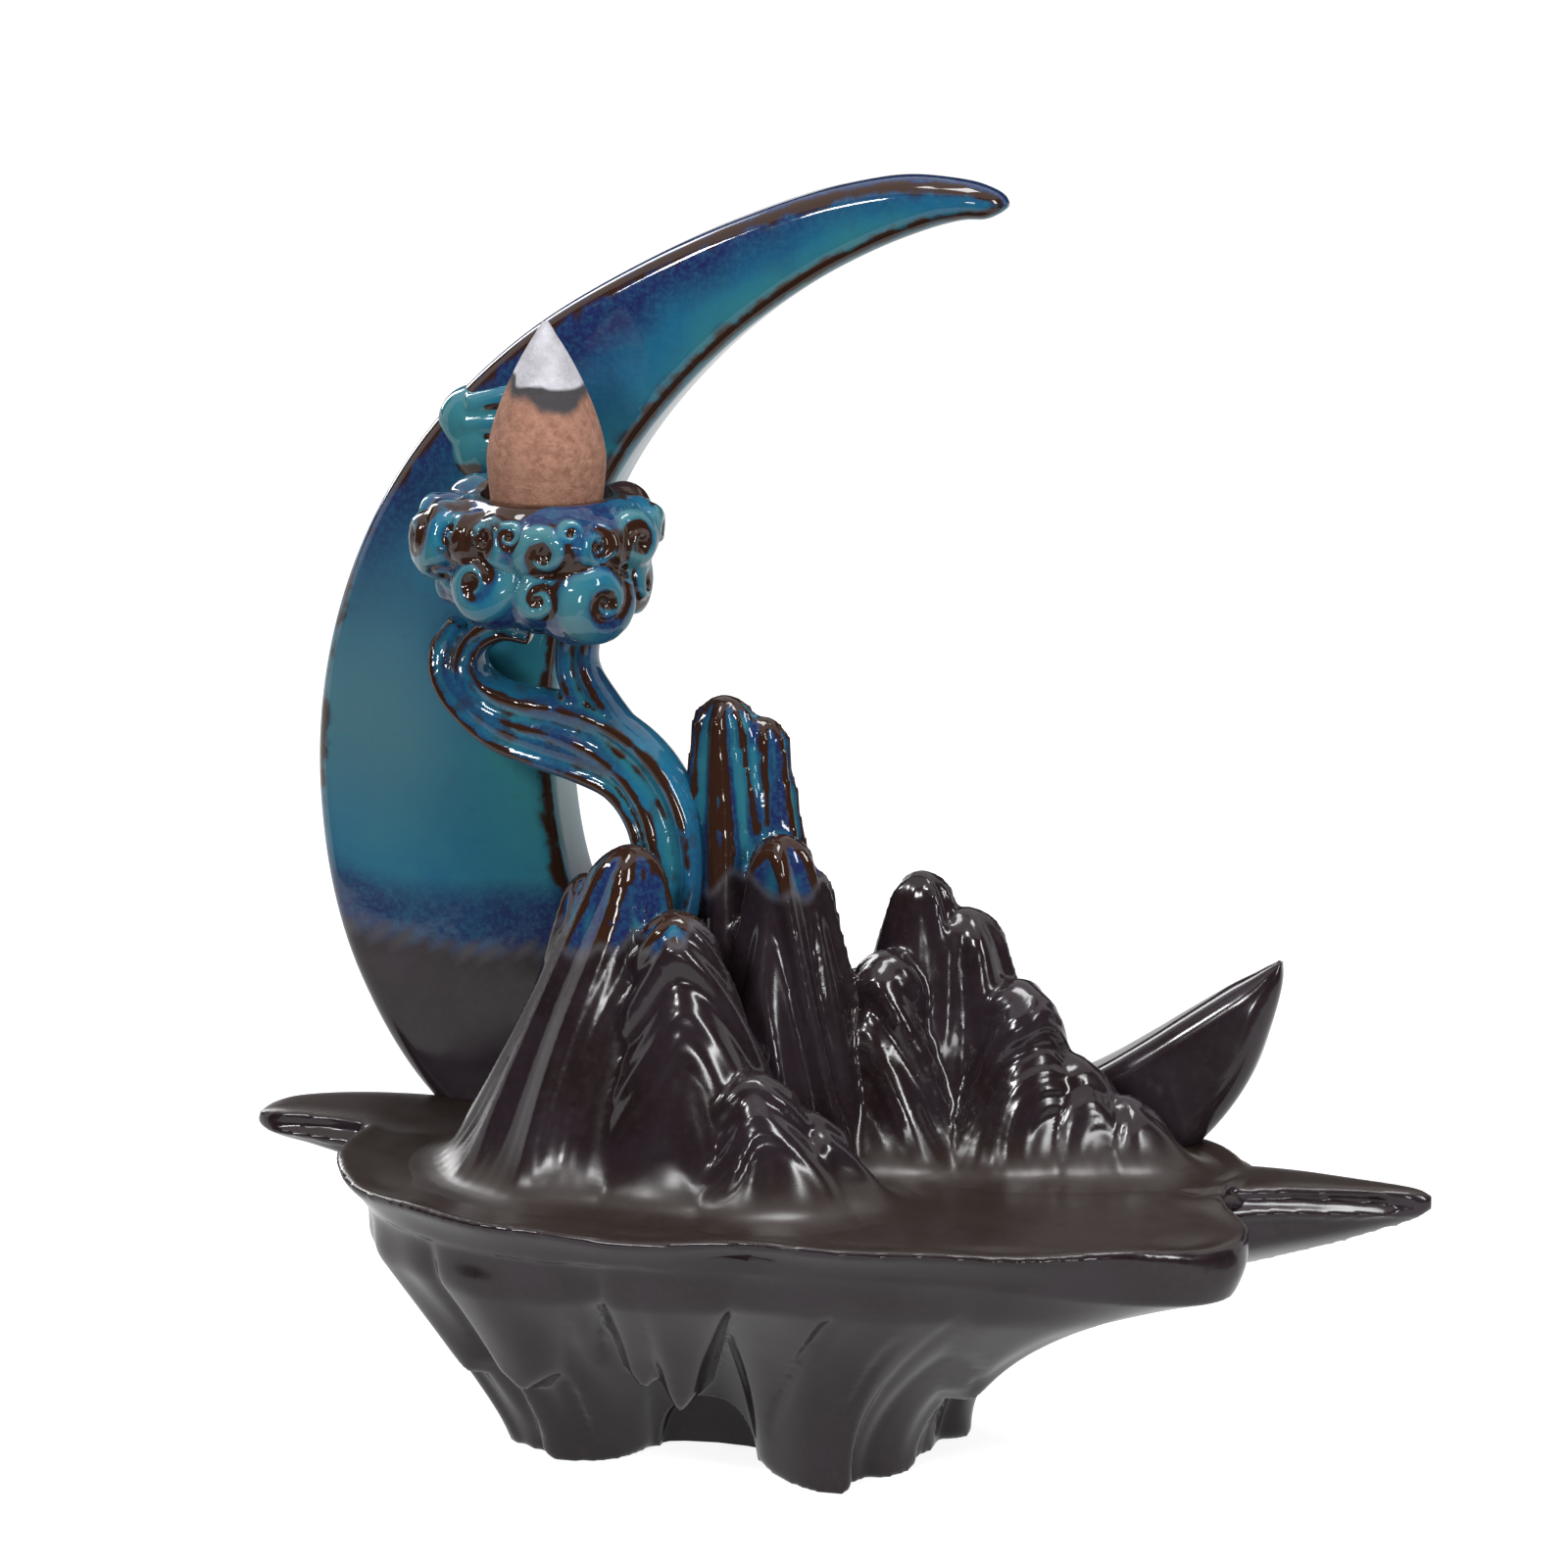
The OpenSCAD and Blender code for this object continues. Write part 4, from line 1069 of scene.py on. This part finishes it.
def pressed_incense():
    """Pressed sawdust and clay, burnt to ash at the tip with a char line below it."""
    f = Finish("pressed_incense")
    grain, coarse = f.noise(900, 5, 0.7), f.noise(260, 4, 0.6)
    height = f.tree.nodes.new("ShaderNodeSeparateXYZ")
    f.tree.links.new(f.place, height.inputs[0])
    uneven = f.add(height.outputs["Z"], f.span(f.noise(110, 3), 0.3, 0.7, -0.9 * MM, 0.9 * MM))
    ash_line = (WELL_Z + CONE_HEIGHT * ASH_LINE) * MM
    tan = f.mix(f.span(grain, 0.3, 0.7), INCENSE_DARK, INCENSE_LIGHT)
    tan = f.mix(f.span(coarse, 0.4, 0.75, 0, 0.5), tan, INCENSE_CLOTS)
    ash = f.mix(f.span(coarse, 0.3, 0.7), ASH_DARK, ASH_LIGHT)
    reach = f.add(uneven, f.times(f.painted("scorch"), 1.9 * MM))
    colour = f.mix(f.span(reach, ash_line - 2.2 * MM, ash_line - 0.6 * MM), tan, CHAR)
    colour = f.mix(f.span(uneven, ash_line - 0.3 * MM, ash_line + 0.3 * MM), colour, ash)
    f.link(colour, f.surface.inputs["Base Color"])
    f.surface.inputs["Roughness"].default_value = 0.93
    f.bump(f.add(grain, coarse), 0.35)
    return f.material


def studio_floor():
    """Pale floor that the camera sees as white, and mirrored rays a little over half as bright."""
    f = Finish("studio_floor")
    rays = f.tree.nodes.new("ShaderNodeLightPath").outputs
    f.link(f.mix(f.span(f.noise(30, 2), 0.3, 0.7), FLOOR_DARK, FLOOR_LIGHT), f.surface.inputs["Base Color"])
    f.surface.inputs["Roughness"].default_value = 0.8
    f.surface.inputs["Emission Color"].default_value = PAPER_WHITE
    mirrored = f.times(f.most(rays["Is Glossy Ray"], rays["Is Transmission Ray"]), MIRRORED_SHARE)
    glow = f.times(f.most(rays["Is Camera Ray"], mirrored), FLOOR_GLOW)
    f.link(glow, f.surface.inputs["Emission Strength"])
    return f.material


def black_card():
    """Matt black card."""
    f = Finish("black_card")
    f.surface.inputs["Base Color"].default_value = CARD_BLACK
    f.surface.inputs["Roughness"].default_value = 0.9
    return f.material


# Pieces

glaze = kiln_glaze()
for casting in (make_moon(), make_cloud(), make_peaks(), make_rock()):
    casting.data.materials.clear()
    casting.data.materials.append(glaze)
    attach(casting, "root")
    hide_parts("burner")

incense = make_incense()
incense.data.materials.append(pressed_incense())
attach(incense, "root")
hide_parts("incense_cone")

# Floor, camera, lamps and cards, in metres and watts, the lens in millimetres

TARGET = Vector((-0.0035, -0.004, 0.088))
CAMERA_TURN, CAMERA_TILT = math.radians(14), math.radians(13)
CAMERA_REACH = 0.75
LENS = 138.375
SENSOR = 36

# Name, place, width, height and power
LAMPS = [
    ("key_box", (-0.55, -0.60, 0.75), 0.12, 0.12, 3.6),
    ("front_box", (-0.20, -0.78, 0.54), 0.14, 0.09, 2.5),
    ("low_box", (0.26, -0.95, 0.16), 0.16, 0.08, 1.3),
    ("right_box", (0.75, -0.45, 0.50), 0.14, 0.48, 5.4),
    ("top_box", (0.10, -0.05, 0.95), 0.36, 0.24, 5),
    ("back_strip", (-0.60, 0.55, 0.45), 0.15, 0.60, 3.0),
]

# Name, middle of the bend and half its turn, then distance and height of the lower edge, middle and top
CARDS = [
    ("front_card", CAMERA_TURN, math.radians(95), ((0.24, 0.002), (1.4, 0.02), (1.4, 1.52))),
    ("back_card", CAMERA_TURN + math.pi, math.radians(55), ((1.4, 0.16), (1.4, 0.5), (1.4, 0.86))),
]


def lay_floor():
    bm = bmesh.new()
    bmesh.ops.create_grid(bm, x_segments=1, y_segments=1, size=4.0)
    floor = finished(bm, "floor")
    floor.data.materials.append(studio_floor())


def place_camera():
    look = Vector((-math.sin(CAMERA_TURN) * math.cos(CAMERA_TILT),
                   math.cos(CAMERA_TURN) * math.cos(CAMERA_TILT), -math.sin(CAMERA_TILT)))
    camera = bpy.data.objects.new("camera", bpy.data.cameras.new("camera"))
    bpy.context.scene.collection.objects.link(camera)
    camera.location = TARGET - look * CAMERA_REACH
    camera.rotation_euler = look.to_track_quat('-Z', 'Y').to_euler()
    camera.data.lens = LENS
    camera.data.sensor_width = SENSOR
    bpy.context.scene.camera = camera


def hang_lamp(name, place, wide, high, power):
    light = bpy.data.lights.new(name, 'AREA')
    light.shape = 'RECTANGLE'
    light.size, light.size_y = wide, high
    light.energy = power
    lamp = bpy.data.objects.new(name, light)
    bpy.context.scene.collection.objects.link(lamp)
    lamp.location = Vector(place)
    lamp.rotation_euler = (TARGET - Vector(place)).to_track_quat('-Z', 'Y').to_euler()


def bent_card(name, middle, half_turn, section, paint):
    """Card bent round the object, seen only by mirrored rays."""
    bm = bmesh.new()
    bmesh.ops.create_grid(bm, x_segments=24, y_segments=2, size=1.0)
    for v in bm.verts:
        bend = middle + half_turn * v.co.x
        far, high = section[round(v.co.y) + 1]
        v.co = Vector((far * math.sin(bend), -far * math.cos(bend), high))
    card = finished(bm, name)
    card.data.materials.append(paint)
    card.visible_camera = card.visible_diffuse = card.visible_shadow = False


def light_the_paper():
    """White paper all round for the camera and mirrored rays, and a soft fill for the rest."""
    world = bpy.data.worlds.new("studio")
    world.use_nodes = True
    tree = world.node_tree
    paper = tree.nodes["Background"]
    paper.inputs["Color"].default_value = PAPER_WHITE
    seen = tree.nodes.new("ShaderNodeLightPath").outputs["Is Camera Ray"]
    rays = seen.node.outputs
    for kind in ("Is Glossy Ray", "Is Transmission Ray"):
        either = tree.nodes.new("ShaderNodeMath")
        either.operation = 'MAXIMUM'
        tree.links.new(seen, either.inputs[0])
        tree.links.new(rays[kind], either.inputs[1])
        seen = either.outputs[0]
    level = tree.nodes.new("ShaderNodeMapRange")
    level.inputs["To Min"].default_value = SOFT_FILL
    level.inputs["To Max"].default_value = 1.0
    tree.links.new(seen, level.inputs["Value"])
    tree.links.new(level.outputs["Result"], paper.inputs["Strength"])
    bpy.context.scene.world = world


lay_floor()
place_camera()
for lamp_values in LAMPS:
    hang_lamp(*lamp_values)

# Black cards in front and behind keep the glaze's reflections deep
matt_black = black_card()
for card_values in CARDS:
    bent_card(*card_values, matt_black)

light_the_paper()
bpy.context.scene.view_settings.view_transform = 'Standard'
